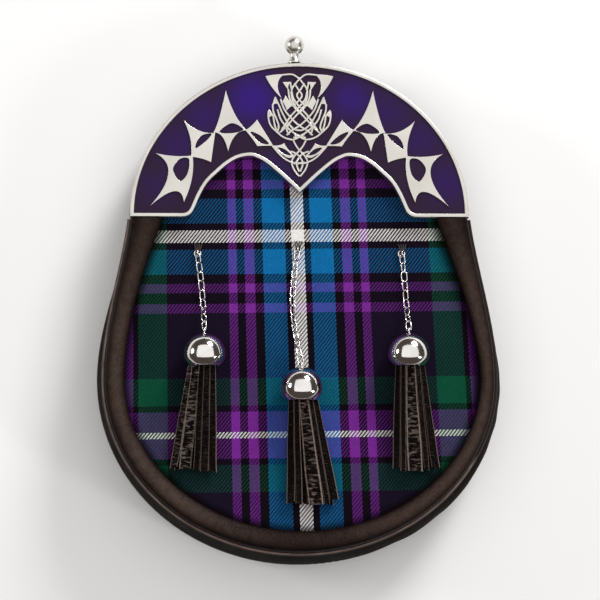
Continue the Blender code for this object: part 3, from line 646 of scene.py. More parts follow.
# the cloth face, stretched flat on the leather wall behind it
clothShape = dict(rings=88, creaseSize=0.02, creaseDepth=0.00008, clear=0.00005,
                  steps=(60, 20, 70), middleDrop=0.03, hub=0.002, seamTop=0.002,
                  seamSteps=(120, 360), lean=0.0287, tilt=0.0105, top=0.016, narrow=0.982,
                  spread=0.316, thickness=0.9)


def clothPlace(x, y):
    # the cloth sits a little askew: its warp leans and spreads downwards, its weft climbs
    shape = clothShape
    down = -y - shape["top"]
    across = (x - shape["lean"] * down) / (shape["narrow"] + shape["spread"] * down)
    return across, y - shape["tilt"] * x


def seamDistances(points, middle):
    # how far each point lies inside the roll's inner edge, less than 0 under the roll
    line = atLevel(windowLine(-clothShape["seamTop"], *clothShape["seamSteps"]), 0)
    tree = kdtree.KDTree(len(line))
    for i, place in enumerate(line):
        tree.insert(place, i)
    tree.balance()
    distances = []
    for x, y, z in points:
        place = Vector((x, y, 0))
        near, i, away = tree.find(place)
        inside = y > 0 or (place - middle).length < (near - middle).length
        distances.append((away if inside else -away, 0.0))
    return distances


def buildCloth():
    shape = clothShape
    edge = front.grown(-(inset + pouch["leather"] + gap)).closed(*shape["steps"])
    middle = Vector((0.0, -shape["middleDrop"]))
    rows, uv = [], []
    for i in range(shape["rings"] + 1):
        share = max(1 - i / shape["rings"], shape["hub"])
        row = []
        for x, y in edge:
            flat = middle.lerp(Vector((x, y)), share)
            swell = abs(crease((flat.x, flat.y, 0), shape))
            row.append((flat.x, flat.y, -shape["clear"] - swell))
            uv.append(clothPlace(flat.x, flat.y))
        rows.append(row)
    points, faces = quads(rows, True)
    faces.append(tuple(len(points) - len(edge) + k for k in range(len(edge))))
    cloth = addMesh("tartan_cloth", points, faces, faceMatrix, cloth=uv,
                    seam=seamDistances(points, middle.to_3d()))
    thicken(cloth, pouch["cloth"] * shape["thickness"], -1)
    dress(cloth, "tartan", ["tartan_panel"])


buildCloth()
print("cloth made")

# the padded leather roll round the window: round above with its crest outwards, square where
# it meets the seams; a painted highlight on its crest, weaker at the bottom and under the cantle's
# ends
rollShape = dict(points=32, steps=(60, 220), creaseSize=0.006, creaseDepth=0.00007,
                 buckle=dict(creaseSize=0.03, creaseDepth=0.00022), flatness=2.05, square=7,
                 lean=0.13, foot=0.42, highlightFrom=0.35, highlightSide=0.06, highlightDrop=0.045)


def crestHighlight(turn, place):
    # painted highlight: how strongly the crest is painted pale, weaker across the bottom's middle and
    # towards the cantle
    shape = rollShape
    if math.sin(turn) <= 0:
        return 0.0
    highlightStrength = 0.25 + 0.75 * min(1.0, abs(place.x) / shape["highlightSide"])
    highlightStrength *= 0.45 + 0.55 * min(1.0, -place.y / shape["highlightDrop"])
    return max(0.0, math.sin(turn - shape["highlightFrom"])) ** 4 * highlightStrength


def buildRoll():
    shape = rollShape
    rings, paintedHighlight = [], []
    inner, outer = windowLine(gap, *shape["steps"]), front.lower(gap, *shape["steps"])
    for a, b in zip(inner, outer):
        a, b = Vector(a), Vector(b)
        ring = []
        for k in range(shape["points"]):
            turn = 2 * math.pi * k / shape["points"]
            power = 2 / shape["flatness" if math.sin(turn) > 0 else "square"]
            across = math.copysign(abs(math.cos(turn)) ** power, math.cos(turn))
            rise = math.copysign(abs(math.sin(turn)) ** power, math.sin(turn))
            flat = a.lerp(b, 0.5 + 0.5 * across + shape["lean"] * max(0.0, rise) ** 2)
            half = 1 - shape["foot"] if rise > 0 else shape["foot"]
            level = gap + pouch["rollHeight"] * (shape["foot"] + half * rise)
            place = Vector((flat.x, flat.y, level))
            if rise > 0:
                swell = crease(place, shape)
                swell += crease(place, shape["buckle"])
                place.z += (swell - shape["creaseDepth"]) * rise
            ring.append(place)
            # the painted highlight's mask for each point
            paintedHighlight.append((crestHighlight(turn, flat), 0.0))
        rings.append(ring)
    roll = addMesh("leather_roll", *skin(rings), faceMatrix, crest=paintedHighlight)
    dress(roll, "roll", ["front_roll"])


# the cord in the roll's seam, with a painted highlight that is full on the left and round the bottom
pipingShape = dict(outside=0.0008, radius=0.0009, points=16, dull=0.35, paleDrop=0.098,
                   paleLength=0.02)


def pipingHighlight(place):
    shape = pipingShape
    # painted highlight: stronger the higher a point stands on the cord, weaker on the right above the
    # bottom
    pale = 1.0
    if place.x >= 0:
        pale = (-place.y - shape["paleDrop"]) / shape["paleLength"]
        pale = min(1.0, max(shape["dull"], pale))
    return max(0.0, place.z) / shape["radius"] * pale


def buildPiping():
    shape = pipingShape
    line = front.grown(shape["outside"]).lower(2 * gap, *rollShape["steps"])
    route = atLevel(line, 0.0)
    points, faces = skin(tubeRings(route, shape["radius"], shape["points"]))
    paintedHighlight = [(pipingHighlight(place), 0.0) for place in points]
    piping = addMesh("seam_piping", points, faces, faceMatrix, crest=paintedHighlight)
    dress(piping, "piping", ["front_piping"])


buildRoll()
buildPiping()
print("roll and piping made")

# the leather side wall between face and back: how far it bulges at each depth, how it sags,
# and the depth and bulge of its two rows of stitches
gussetShape = dict(levels=[(0.0, 0.0), (0.06, 0.35), (0.15, 0.65), (0.3, 0.88), (0.5, 0.98),
                           (0.7, 0.88), (0.85, 0.62), (0.94, 0.32), (1.0, 0.0)],
                   fullness=0.8, steps=(120, 36, 150), creaseSize=0.011, creaseDepth=0.0006,
                   middleDrop=0.06, sag=0.003, sagWay=(0.72, -0.69, 0.0),
                   stitchRows=[(0.11, 0.52), (0.9, 0.45)], thread=0.00028, sunk=0.00002)
toBody = bodyMatrix.inverted()


def wallRow(depth, bulge):
    # places along the wall at one depth, each with its way outwards and how far it sags
    shape = gussetShape
    by = pouch["bulge"] * bulge * shape["fullness"]
    row = []
    for low, high in zip(rear.grown(by).closed(*shape["steps"]),
                         front.grown(by - inset).closed(*shape["steps"])):
        base = Vector((*low, backOuter))
        place = base.lerp(toBody @ (faceMatrix @ Vector((*high, 0.0))), depth)
        way = Vector((place.x, place.y + shape["middleDrop"], 0)).normalized()
        facing = max(0.0, way.dot(Vector(shape["sagWay"])))
        row.append((place, way, shape["sag"] * facing ** 4 * bulge ** 2))
    return row


def buildGusset():
    shape = gussetShape
    rows = []
    for depth, bulge in shape["levels"]:
        row = []
        for place, way, sag in wallRow(depth, bulge):
            fold = crease(place, shape) - shape["creaseDepth"] / 2
            row.append(place + way * (fold * bulge + sag))
        rows.append(row)
    gusset = addMesh("gusset_leather", *quads(rows, True), bodyMatrix)
    thicken(gusset, pouch["leather"], -1)
    dress(gusset, "body", ["gusset"])


stitchShape = dict(pitch=0.0034, length=0.0025, thick=0.00032, sides=6, sinkShare=0.9,
                   stations=(-0.5, -0.35, 0.0, 0.35, 0.5))


def stitchParts(route, normals, thick=stitchShape["thick"], lift=0.0):
    # short threads laid along a route, each sunk at its ends
    shape = stitchShape
    parts = []
    goal, walked = shape["pitch"] / 2, 0.0
    for a, b, normal in zip(route, route[1:], normals):
        span = (b - a).length
        while walked + span >= goal:
            middle = a.lerp(b, (goal - walked) / span)
            along = (b - a).normalized()
            places = []
            for t in shape["stations"]:
                sink = thick * shape["sinkShare"] if abs(t) == 0.5 else 0.0
                places.append(middle + along * t * shape["length"] + normal * (lift - sink))
            parts.append(skin(tubeRings(places, thick, shape["sides"], up=normal)))
            goal += shape["pitch"]
        walked += span
    return parts


def layThread(name, parts, matrix=Matrix()):
    dress(addMesh(name, *merge(parts), matrix), "thread")


def buildGussetStitches():
    parts = []
    for depth, bulge in gussetShape["stitchRows"]:
        row = wallRow(depth, bulge)
        parts += stitchParts([place + way * sag for place, way, sag in row],
                             [way for place, way, sag in row], gussetShape["thread"],
                             -gussetShape["sunk"])
    layThread("gusset_stitches", parts, bodyMatrix)


# the welt round the back edge; creased above the floor that it lies on
weltShape = dict(points=20, creasedFrom=0.001, creaseSize=0.007, creaseDepth=0.0003)


def buildWelt():
    shape = weltShape
    line = rear.grown(pouch["weltProud"] - pouch["weltRadius"]).closed(*gussetShape["steps"])
    route = atLevel(line, pouch["weltRadius"])
    rings = tubeRings(route, pouch["weltRadius"], shape["points"], closed=True)
    for place in (place for ring in rings for place in ring):
        if place.z > shape["creasedFrom"]:
            place.z -= abs(crease(place, shape))
    welt = addMesh("welt_leather", *skin(rings, closed=True), bodyMatrix)
    dress(welt, "roll", ["rear_welt"])


buildGusset()
buildGussetStitches()
buildWelt()
print("gusset and welt made")

# the silver top plate: rim, enamelled ground, relief
cantle = dict(rim=0.0021, rimTop=0.0058, plateTop=0.0049, plate=0.0017, footCorner=0.0035,
              cornerSteps=6, lobeSteps=8, crownSteps=180, foot=0.650, tip=0.175, relief=0.0008,
              sunk=0.0004, twistEdge=0.00014, twistStep=0.00006, leafEdge=0.00012,
              leafStep=0.00004, leafRelief=0.8, groundEdge=0.6)
# the rim's section: share of its half width, depth under its top
rimSection = [(1.0, 0.0010), (0.92, 0.0005), (0.70, 0.00014), (0.38, 0.0)]
scallop = [(0.624, 0.080), (0.594, 0.153), (0.550, 0.232), (0.488, 0.299), (0.429, 0.353),
           (0.365, 0.392), (0.290, 0.406), (0.240, 0.390), (0.188, 0.357), (0.100, 0.277)]


def onCantle(across, up):
    return Vector((across * halfCantle, up * pouch["cantleHeight"]))


def cantleLine():
    low = cantle["rim"] / 2
    foot = Vector((halfCantle * cantle["foot"], low))
    tip = onCantle(0.0, cantle["tip"])
    start = foot + Vector((cantle["footCorner"], 0))
    end = foot + (onCantle(*scallop[0]) - foot).normalized() * cantle["footCorner"]
    half = pulled(start, foot, end, cantle["cornerSteps"])
    half += smoothRoute([end] + [onCantle(*place) for place in scallop] + [tip],
                        cantle["lobeSteps"])[:-1]
    crown = arc(halfCantle - low, pouch["cantleHeight"] - 2 * low, 0, math.pi,
                cantle["crownSteps"])
    crown = [Vector((x, low + y)) for x, y in crown]
    return [Vector((-p.x, p.y)) for p in half] + [tip] + half[::-1] + crown


def mitres(line):
    # outward direction at each point of a counter-clockwise line, longer at corners
    result = []
    for i, here in enumerate(line):
        before = (here - line[i - 1]).normalized()
        after = (line[(i + 1) % len(line)] - here).normalized()
        normal = Vector((before.y, -before.x)) + Vector((after.y, -after.x))
        result.append(normal * 2 / max(normal.length_squared, 0.8))
    return result


def buildRim():
    line = cantleLine()
    half, top = cantle["rim"] / 2, cantle["rimTop"]
    section = [(side, top - depth) for side, depth in rimSection]
    section = [(1.0, gap)] + section + [(-side, level) for side, level in section[::-1]]
    section += [(-1.0, gap)]
    rings = [[Vector((*(p + out * half * side), level)) for side, level in section]
             for p, out in zip(line, mitres(line))]
    rim = addMesh("cantle_rim", *skin(rings, closed=True), faceMatrix)
    dress(rim, "silver", ["cantle"], 30)
    ground = [tuple(p - out * half * cantle["groundEdge"]) for p, out in zip(line, mitres(line))]
    plate = flatShape("cantle_enamel", [ground], cantle["plateTop"] - cantle["plate"],
                      cantle["plateTop"], faceMatrix)
    dress(plate, "enamel", ["cantle"], 30)


# barbed twist, one side in millimetres from the cantle's middle and lower edge: each cell's
# corners in turn, a place that each side passes through, and its eye's outline
twistCells = [
    dict(corners=[(13.3, 34.6), (7.4, 35.6), (2.6, 29.4), (7.6, 29.6)],
         sides=[(10.2, 34.5), (5.2, 32.2), (4.9, 28.4), (10.0, 31.2)],
         eye=[(10.6, 33.3), (7.2, 32.6), (4.2, 29.8), (7.6, 30.5)]),
    dict(corners=[(26.1, 41.9), (20.3, 46.9), (12.5, 34.2), (20.2, 34.0)],
         sides=[(23.6, 43.4), (16.4, 40.6), (16.6, 34.2), (22.6, 37.6)],
         eye=[(23.4, 40.9), (18.9, 39.2), (14.7, 35.2), (19.2, 36.0)]),
    dict(corners=[(41.3, 40.4), (35.2, 61.1), (25.1, 41.5), (34.1, 31.3)],
         sides=[(38.4, 47.6), (30.9, 49.6), (30.6, 39.2), (37.0, 38.6)],
         eye=[(38.2, 40.9), (32.4, 45.0), (26.9, 42.0), (32.4, 40.3)]),
    dict(corners=[(51.8, 28.8), (55.4, 46.7), (40.2, 40.4), (42.2, 26.2)],
         sides=[(52.0, 37.0), (48.2, 41.6), (41.2, 33.4), (46.6, 27.9)],
         eye=[(49.5, 33.0), (48.9, 36.2), (46.4, 39.2), (42.2, 40.0), (43.2, 38.0),
              (45.7, 35.6)]),
    dict(corners=[(51.0, 29.6), (55.2, 7.0), (71.6, 4.8), (68.9, 30.6)],
         sides=[(51.3, 18.4), (59.8, 12.2), (62.6, 20.6), (59.4, 29.2)],
         eye=[(53.0, 28.0), (57.2, 27.6), (60.3, 22.8), (57.2, 17.3), (54.1, 19.6),
              (52.7, 23.9)]),
]


def mirrored(places, side):
    return [(side * place.x * millimetre, place.y * millimetre) for place in places]


def curvedOutline(corners, sides, side, steps=16):
    # each side of the outline bends through its given place
    outline = []
    for i, corner in enumerate(corners):
        a, b = Vector(corner), Vector(corners[(i + 1) % len(corners)])
        outline += pulled(a, Vector(sides[i]) * 2 - (a + b) / 2, b, steps)
    return mirrored(outline, side)


def roundOutline(places, side, steps=8):
    # a smooth closed line through the places
    count = len(places)
    outline = []
    for i in range(count):
        outline += bentThrough([places[(i + n) % count] for n in (-1, 0, 1, 2)], steps)
    return mirrored(outline, side)


def buildTwist(side, name):
    low, high = cantle["plateTop"] - cantle["sunk"], cantle["plateTop"] + cantle["relief"]
    cells = []
    for i, cell in enumerate(twistCells):
        outline = curvedOutline(cell["corners"], cell["sides"], side)
        cells.append(flatShape("cell", [outline, roundOutline(cell["eye"], side)], low,
                               high - cantle["twistStep"] * (i % 2), faceMatrix,
                               cantle["twistEdge"]))
    dress(joined(name, cells), "silver", ["cantle"], 40)


# thistle, one side in the same millimetres; strands that pass the middle cross their twins
thistle = dict(
    plates=[
        dict(corners=[(16.3, 67.9), (7.4, 68.9), (8.3, 57.0)],
             sides=[(11.8, 68.7), (10.3, 63.8), (12.8, 62.0)]),
        dict(corners=[(8.1, 65.1), (3.6, 65.3), (5.0, 60.6)],
             sides=[(5.9, 65.2), (5.2, 63.3), (6.5, 62.8)]),
        dict(corners=[(6.7, 58.7), (3.4, 53.6), (6.1, 51.4), (8.2, 55.8)],
             sides=[(5.1, 56.4), (4.6, 52.8), (7.0, 53.7), (7.4, 57.0)]),
        dict(corners=[(11.7, 58.2), (9.6, 53.6), (12.9, 53.4)],
             sides=[(10.8, 55.9), (11.3, 54.6), (12.6, 55.6)]),
        dict(corners=[(14.8, 51.9), (12.2, 48.6), (14.9, 46.6)],
             sides=[(13.3, 50.4), (13.9, 48.4), (14.9, 49.0)]),
    ],
    strands=[
        [(8.6, 68.5), (3.5, 68.8), (0.4, 66.9), (-1.9, 64.3), (-3.6, 61.6), (-3.7, 58.2),
         (-2.4, 54.1), (0.4, 50.4), (4.0, 46.3), (7.2, 42.7), (9.6, 40.6)],
        [(4.3, 64.9), (3.7, 61.0), (2.7, 56.8), (-0.5, 52.7), (-4.2, 48.6), (-6.9, 44.5),
         (-8.6, 41.9)],
        [(5.3, 61.6), (4.7, 57.2), (2.2, 52.6), (-1.5, 49.0), (-4.6, 45.4), (-6.1, 42.3),
         (-5.0, 39.6)],
        [(2.4, 64.4), (0.4, 61.3), (-1.2, 58.6), (0.8, 55.6), (3.2, 53.2)],
        [(9.0, 56.9), (7.2, 51.8), (4.0, 47.7), (0.4, 44.3), (-3.7, 41.6), (-6.2, 39.4)],
        [(10.5, 51.8), (9.0, 47.1), (6.3, 43.6), (3.1, 40.8), (0.3, 39.2), (-2.9, 38.2)],
        [(11.7, 57.8), (9.9, 54.0), (8.0, 49.7), (5.4, 45.2), (2.4, 42.3), (-0.3, 41.7)],
        [(12.8, 54.4), (12.5, 50.9), (11.0, 47.2), (9.9, 43.6), (10.6, 41.2)],
        [(14.8, 51.0), (14.9, 48.1), (13.8, 44.1), (10.9, 41.0), (7.6, 38.4), (3.5, 37.3),
         (0.5, 38.3), (-2.4, 39.9)],
        [(12.6, 49.2), (12.1, 45.4), (11.1, 41.9)],
        [(3.2, 37.4), (1.6, 34.2), (-0.5, 31.6), (-2.8, 28.9), (-3.8, 26.3), (-2.6, 22.7),
         (-0.2, 19.6)],
        [(13.0, 34.2), (8.7, 29.4), (4.9, 26.8), (1.3, 25.8), (-2.3, 26.5)],
        [(4.4, 31.6), (1.9, 30.7), (-0.3, 28.6), (-1.5, 25.6), (-0.2, 21.9)],
    ],
    half=0.00048, rise=0.00034, lift=0.0003, liftStep=0.000008, weave=0.00022, reach=0.0011,
    steps=6,
)


def ribbonRings(route, half, rise):
    # a low band with a nearly flat top
    section = [(-1.0, -1.0), (-1.0, 0.35), (-0.72, 0.85), (0.0, 1.0), (0.72, 0.85), (1.0, 0.35),
               (1.0, -1.0)]
    rings = []
    for i, place in enumerate(route):
        along = route[min(i + 1, len(route) - 1)] - route[max(i - 1, 0)]
        side = Vector((along.y, -along.x, 0)).normalized()
        rings.append([place + side * half * x + Vector((0, 0, rise * z)) for x, z in section])
    return rings


def crossingPlaces(routes):
    # where routes cross, as (route, step, other route, other step)
    spans = [(i, a, route[a], route[a + 1] - route[a])
             for i, route in enumerate(routes) for a in range(len(route) - 1)]
    found = []
    for (i, a, p, q), (j, b, r, s) in combinations(spans, 2):
        turn = q.x * s.y - q.y * s.x
        if i == j or abs(turn) < 1e-12:
            continue
        apart = r - p
        t = (apart.x * s.y - apart.y * s.x) / turn
        u = (apart.x * q.y - apart.y * q.x) / turn
        if 0 <= t < 1 and 0 <= u < 1:
            found.append((i, a, j, b))
    return sorted(found)


def buildThistle():
    routes = []
    for side in (-1, 1):
        for strand in thistle["strands"]:
            places = mirrored([Vector(place) for place in strand], side)
            routes.append(smoothRoute(places, thistle["steps"]))
    # strands go over and under in turn
    lifts = [[] for route in routes]
    for i, a, j, b in crossingPlaces(routes):
        over = 1 if len(lifts[i]) % 2 == 0 else -1
        lifts[i].append((routes[i][a], over))
        lifts[j].append((routes[j][b], -over))
    parts = []
    for i, route in enumerate(routes):
        raised = []
        for place in route:
            level = cantle["plateTop"] + thistle["lift"] + thistle["liftStep"] * i
            for where, over in lifts[i]:
                away = (place - where).length / thistle["reach"]
                level += over * thistle["weave"] * math.exp(-away * away)
            raised.append(Vector((place.x, place.y, level)))
        parts.append(skin(ribbonRings(raised, thistle["half"], thistle["rise"])))
    shapes = [addMesh("thistle_strands", *merge(parts), faceMatrix)]
    low = cantle["plateTop"] - cantle["sunk"]
    high = cantle["plateTop"] + cantle["relief"] * cantle["leafRelief"]
    for side in (-1, 1):
        for i, plate in enumerate(thistle["plates"]):
            outline = curvedOutline(plate["corners"], plate["sides"], side)
            shapes.append(flatShape("leaf", [outline], low, high - cantle["leafStep"] * i,
                                    faceMatrix, cantle["leafEdge"]))
    dress(joined("thistle_relief", shapes), "silver", ["cantle"], 40)


buildRim()
buildTwist(-1, "twist_left")
buildTwist(1, "twist_right")
buildThistle()
print("cantle made")


# finial on the rim; its waist as shares of the neck's or foot's radius and the neck's height
finialShape = dict(ball=0.0046, neck=0.00235, foot=0.0032, height=0.0131, neckShare=0.34,
                   waist=[("neck", 0.94, 0.80), ("neck", 1.02, 0.50), ("foot", 0.93, 0.26),
                          ("foot", 1.0, 0.13)])


def buildFinial():
    shape = finialShape
    low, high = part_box("finial")
    x = (low.x + high.x) / 2
    seatY = pouch["cantleHeight"] * math.sqrt(1 - (x / halfCantle) ** 2) + gap
    middle = shape["height"] - shape["ball"]
    low = math.asin(shape["neck"] / shape["ball"]) - math.pi / 2
    profile = [(r, middle + h) for r, h in arc(shape["ball"], shape["ball"], math.pi / 2, low, 32)]
    neck = shape["neckShare"] * shape["height"]
    waist = [(shape[part] * width, neck * height) for part, width, height in shape["waist"]]
    profile += [tuple(p) for p in smoothRoute(profile[-1:] + waist, 6)[1:]]
    profile += [(shape["foot"], 0.0), (0.0, 0.0)]
    place = (faceMatrix @ Matrix.Translation((x, seatY, cantle["rimTop"] / 2))
             @ Matrix.Rotation(-math.pi / 2, 4, "X"))
    finial = weld(addMesh("finial_ball", *turned(profile, place, 40)))
    dress(finial, "silver", ["finial"], 50)


buildFinial()

# chains, bells and tassels, with the places that their solids have
tassels = [
    dict(side="left", eye=(-0.0486, -0.0169), bell=(-0.0455, -0.0558), bow=0.0006),
    dict(side="middle", eye=(-0.0009, -0.0154), bell=(0.0004, -0.0720), bow=-0.003),
    dict(side="right", eye=(0.0488, -0.0169), bell=(0.0512, -0.0558), bow=0.0004),
]
chainShape = dict(wire=0.00038, pitch=0.0043, half=0.0015, ring=0.0015, ringWire=1.1,
                  level=0.0024, riseFrom=0.6, steps=60, washer=0.0021, washerHeight=0.0006,
                  touch=0.00002, twist=45, wobble=0.18)
# the eyelet's plate as shares of its radius and height; its thread's loops, as how far each
# leans aside, and the places along and above the cloth that all of them pass
washerSection = [(0.42, 0.3), (0.5, 0.85), (0.62, 1.0), (0.76, 1.0), (0.88, 0.75), (0.92, 0.0),
                 (0.42, 0.0), (0.42, 0.3)]
knotShape = dict(thread=0.00026, leans=(-0.0005, -0.0001, 0.0003, 0.0007), spread=0.4,
                 places=[(-0.0015, 0.0006), (-0.0006, 0.0024), (0.0002, 0.0032),
                         (0.0012, 0.0026), (0.0024, 0.0009), (0.0029, 0.0004)])
bellShape = dict(
    radius=0.01, length=0.0155, wall=0.001, ringPlace=0.75,
    profile=[(0.0, 0.10), (0.012, 0.26), (0.05, 0.42), (0.13, 0.62), (0.24, 0.785), (0.37, 0.905),
             (0.50, 0.972), (0.60, 0.997), (0.68, 1.0), (0.77, 0.975), (0.85, 0.92),
             (0.92, 0.845), (0.97, 0.775), (1.0, 0.72)])
bellAxis = gap + bellShape["radius"]


def eyePlace(tassel):
    return Vector((*tassel["eye"], chainShape["level"]))


def ringPlace(tassel):
    # middle of the ring on the bell's top
    lift = chainShape["ring"] * bellShape["ringPlace"]
    return Vector((tassel["bell"][0], tassel["bell"][1] + lift, bellAxis))


def ringPart(centre, around=28):
    # a ring that stands across the chain's run
    wire = chainShape["wire"] * chainShape["ringWire"]
    rings = []
    for i in range(around):
        turn = 2 * math.pi * i / around
        out = Vector((0, math.cos(turn), math.sin(turn)))
        rings.append(circle(centre + out * chainShape["ring"], out, Vector((1, 0, 0)), wire, 10))
    return skin(rings, closed=True)


def chainJoints(tassel):
    # where links meet: along a bowed route that rises to the bell, at equal lengths
    shape = chainShape
    hook = Vector((0, shape["ring"] - shape["wire"] * 2.1 - gap, 0))
    start, end = eyePlace(tassel) - hook, ringPlace(tassel) + hook
    route = []
    for i in range(shape["steps"] + 1):
        t = i / shape["steps"]
        point = start.lerp(end, t)
        point.x += tassel["bow"] * math.sin(math.pi * t)
        rise = max(0.0, (t - shape["riseFrom"]) / (1 - shape["riseFrom"]))
        point.z = between(start.z, end.z, eased(rise))
        route.append(point)
    lengths = [0.0]
    for a, b in zip(route, route[1:]):
        lengths.append(lengths[-1] + (b - a).length)
    count = max(3, round(lengths[-1] / shape["pitch"]))
    joints, k = [], 0
    for i in range(count + 1):
        goal = lengths[-1] * i / count
        while k < len(route) - 2 and lengths[k + 1] < goal:
            k += 1
        share = (goal - lengths[k]) / (lengths[k + 1] - lengths[k])
        joints.append(route[k].lerp(route[k + 1], share))
    return joints


def linkPart(top, bottom, turn, end=12):
    axis = (bottom - top).normalized()
    side = axis.cross(Vector((0, 0, 1))).normalized()
    across = side * math.cos(turn) + side.cross(axis) * math.sin(turn)
    normal = across.cross(axis)
    wire, half = chainShape["wire"], chainShape["half"]
    straight = (bottom - top).length / 2 + wire - chainShape["touch"] - half
    rings = []
    for way in (1, -1):
        for k in range(end):
            angle = math.pi * k / (end - 1)
            out = (across * math.cos(angle) + axis * math.sin(angle)) * way
            place = (top + bottom) / 2 + axis * way * straight + out * half
            rings.append(circle(place, out, normal, wire, 10))
    return skin(rings, closed=True)


def buildChain(tassel):
    side, shape = tassel["side"], chainShape
    joints = chainJoints(tassel)
    links = []
    for i, (top, bottom) in enumerate(zip(joints, joints[1:])):
        wobble = random.uniform(-shape["wobble"], shape["wobble"])
        twist = math.radians(shape["twist"] if i % 2 else -shape["twist"])
        links.append(linkPart(top, bottom, twist + wobble))
    chain = addMesh("chain_links_" + side, *merge(links), faceMatrix)
    dress(chain, "chrome", ["chain_" + side], 50)
    eye = eyePlace(tassel)
    section = [(shape["washer"] * r, shape["washerHeight"] * h) for r, h in washerSection]
    plate = turned(section, Matrix.Translation((eye.x, eye.y, gap)), 32)
    piece = addMesh("eyelet_" + side, *merge([plate, ringPart(eye)]), faceMatrix)
    dress(weld(piece), "chrome", ["chain_eye_" + side], 40)
    top = eye + Vector((0, shape["ring"], 0))
    loops = []
    for lean in knotShape["leans"]:
        span = [Vector((top.x + lean * (1 + knotShape["spread"] * k), top.y + y, z))
                for k, (y, z) in enumerate(knotShape["places"])]
        loops.append(skin(tubeRings(smoothRoute(span, 4), knotShape["thread"])))
    layThread("eyelet_thread_" + side, loops, faceMatrix)


def buildBell(tassel):
    side, shape = tassel["side"], bellShape
    outer = smoothRoute([(shape["radius"] * r, -shape["length"] * d)
                         for d, r in shape["profile"]], 3)
    wall = shape["wall"]
    inner = [Vector((max(0.0, p.x - wall), p.y - wall)) for p in outer[2:-4:2]]
    lip = [outer[-1] - Vector((wall * width, wall * height))
           for width, height in ((0.25, 0.15), (0.75, 0.15), (1.0, 0.0))]
    profile = [(0.0, 0.0)] + [tuple(p) for p in outer + lip + inner[::-1]] + [(0.0, inner[0].y)]
    place = (Matrix.Translation((*tassel["bell"], bellAxis))
             @ Matrix.Rotation(-math.pi / 2, 4, "X"))
    cap = turned(profile, place, 72)
    bell = addMesh("bell_cap_" + side, *merge([cap, ringPart(ringPlace(tassel))]), faceMatrix)
    dress(weld(bell), "chrome", ["bell_" + side], 40)


# strips of each tassel: place at the bell's mouth and at the end, width there and at the
# end, in millimetres from the bell's axis; how creased; share of the length
stripShape = dict(thick=0.0012, length=0.0495, stations=110, bundle=0.0061, sunk=0.006,
                  fallFrom=0.08, fall=1.5, sway=0.0005, skew=0.0012, ripple=0.0006, roll=0.12,
                  lieStep=0.0013, underRows=(4, 5), underSpread=0.0104, underStep=0.0028,
                  underWidths=(0.0024, 0.0036))
# half of a strip's section, from its underside's middle to its upper side's
stripSection = [(0.0, -1.0), (0.55, -1.0), (0.97, -1.0), (1.0, -0.7), (1.0, 0.55), (0.97, 0.9),
                (0.88, 1.02), (0.76, 1.06), (0.35, 1.12), (0.0, 1.15)]
tasselStrips = dict(
    left=[(-6.6, -14.3, 2.6, 3.6, 0.7, 0.965), (-4.2, -8.9, 3.6, 5.6, 1.0, 0.975),
          (-1.2, -3.7, 2.4, 3.0, 0.2, 0.985), (1.5, 0.0, 2.8, 4.0, 0.3, 1.0),
          (4.6, 4.1, 2.8, 3.8, 0.1, 1.0)],
    middle=[(-6.0, -5.0, 2.8, 4.0, 0.1, 0.97), (-3.2, -1.1, 2.4, 3.2, 0.2, 0.985),
            (-0.1, 6.8, 3.8, 7.0, 1.0, 0.99), (3.4, 12.0, 2.2, 2.6, 0.2, 0.97),
            (6.0, 15.6, 2.8, 4.4, 0.1, 0.94)],
    right=[(-6.2, -6.0, 2.6, 3.4, 0.1, 0.97), (-3.6, -2.6, 2.2, 2.6, 0.2, 1.0),
           (0.2, 2.9, 3.6, 7.0, 1.0, 1.0), (3.6, 8.6, 2.2, 2.6, 0.3, 0.985),
           (6.2, 12.9, 2.8, 4.0, 0.2, 0.965)],
)


def drift(t, seed, row=0.0):
    return noise.noise(Vector((t, seed, row)))


def stripPart(mouth, end, widths, rolls, creased, seed):
    # one strip with square cut edges and a skewed end; with the mask of its pale edges
    shape = stripShape
    stations, thick = shape["stations"], shape["thick"] / 2
    left = [(-x, z) for x, z in stripSection[1:-1]]
    section = left[2::-1] + stripSection + left[:2:-1]
    start = mouth + Vector((0, shape["sunk"], 0))
    skew = drift(seed, 0, 3) * shape["skew"]
    rings = []
    for i in range(stations):
        t = i / (stations - 1)
        place = start.lerp(end, t)
        fallen = max(0.0, t - shape["fallFrom"]) / (1 - shape["fallFrom"])
        place.z = between(end.z, mouth.z, (1 - fallen) ** shape["fall"])
        place.x += drift(t * 3, seed) * shape["sway"] * t
        half = between(*widths, min(1.0, t * 1.3)) / 2
        turn = rolls * (1 - t) + drift(t * 2.5, seed, 5) * shape["roll"]
        across = Vector((math.cos(turn), 0, math.sin(turn)))
        upwards = Vector((-math.sin(turn), 0, math.cos(turn)))
        ring = []
        for x, z in section:
            ripple = drift(t * 40, seed, x * 0.8) * shape["ripple"] * creased if z > 0 else 0.0
            tail = Vector((0, skew * x * max(0.0, t - 0.9) * 10, 0))
            ring.append(place + across * x * half + upwards * (z * thick + ripple) + tail)
        rings.append(ring)
    points, faces = skin(rings)
    pale = [random.uniform(0.25, 1.0), random.uniform(0.25, 1.0)]
    mask = [(pale[x > 0] if abs(x) > 0.8 else 0.0, creased)
            for i in range(stations) for x, z in section]
    return points, faces, mask


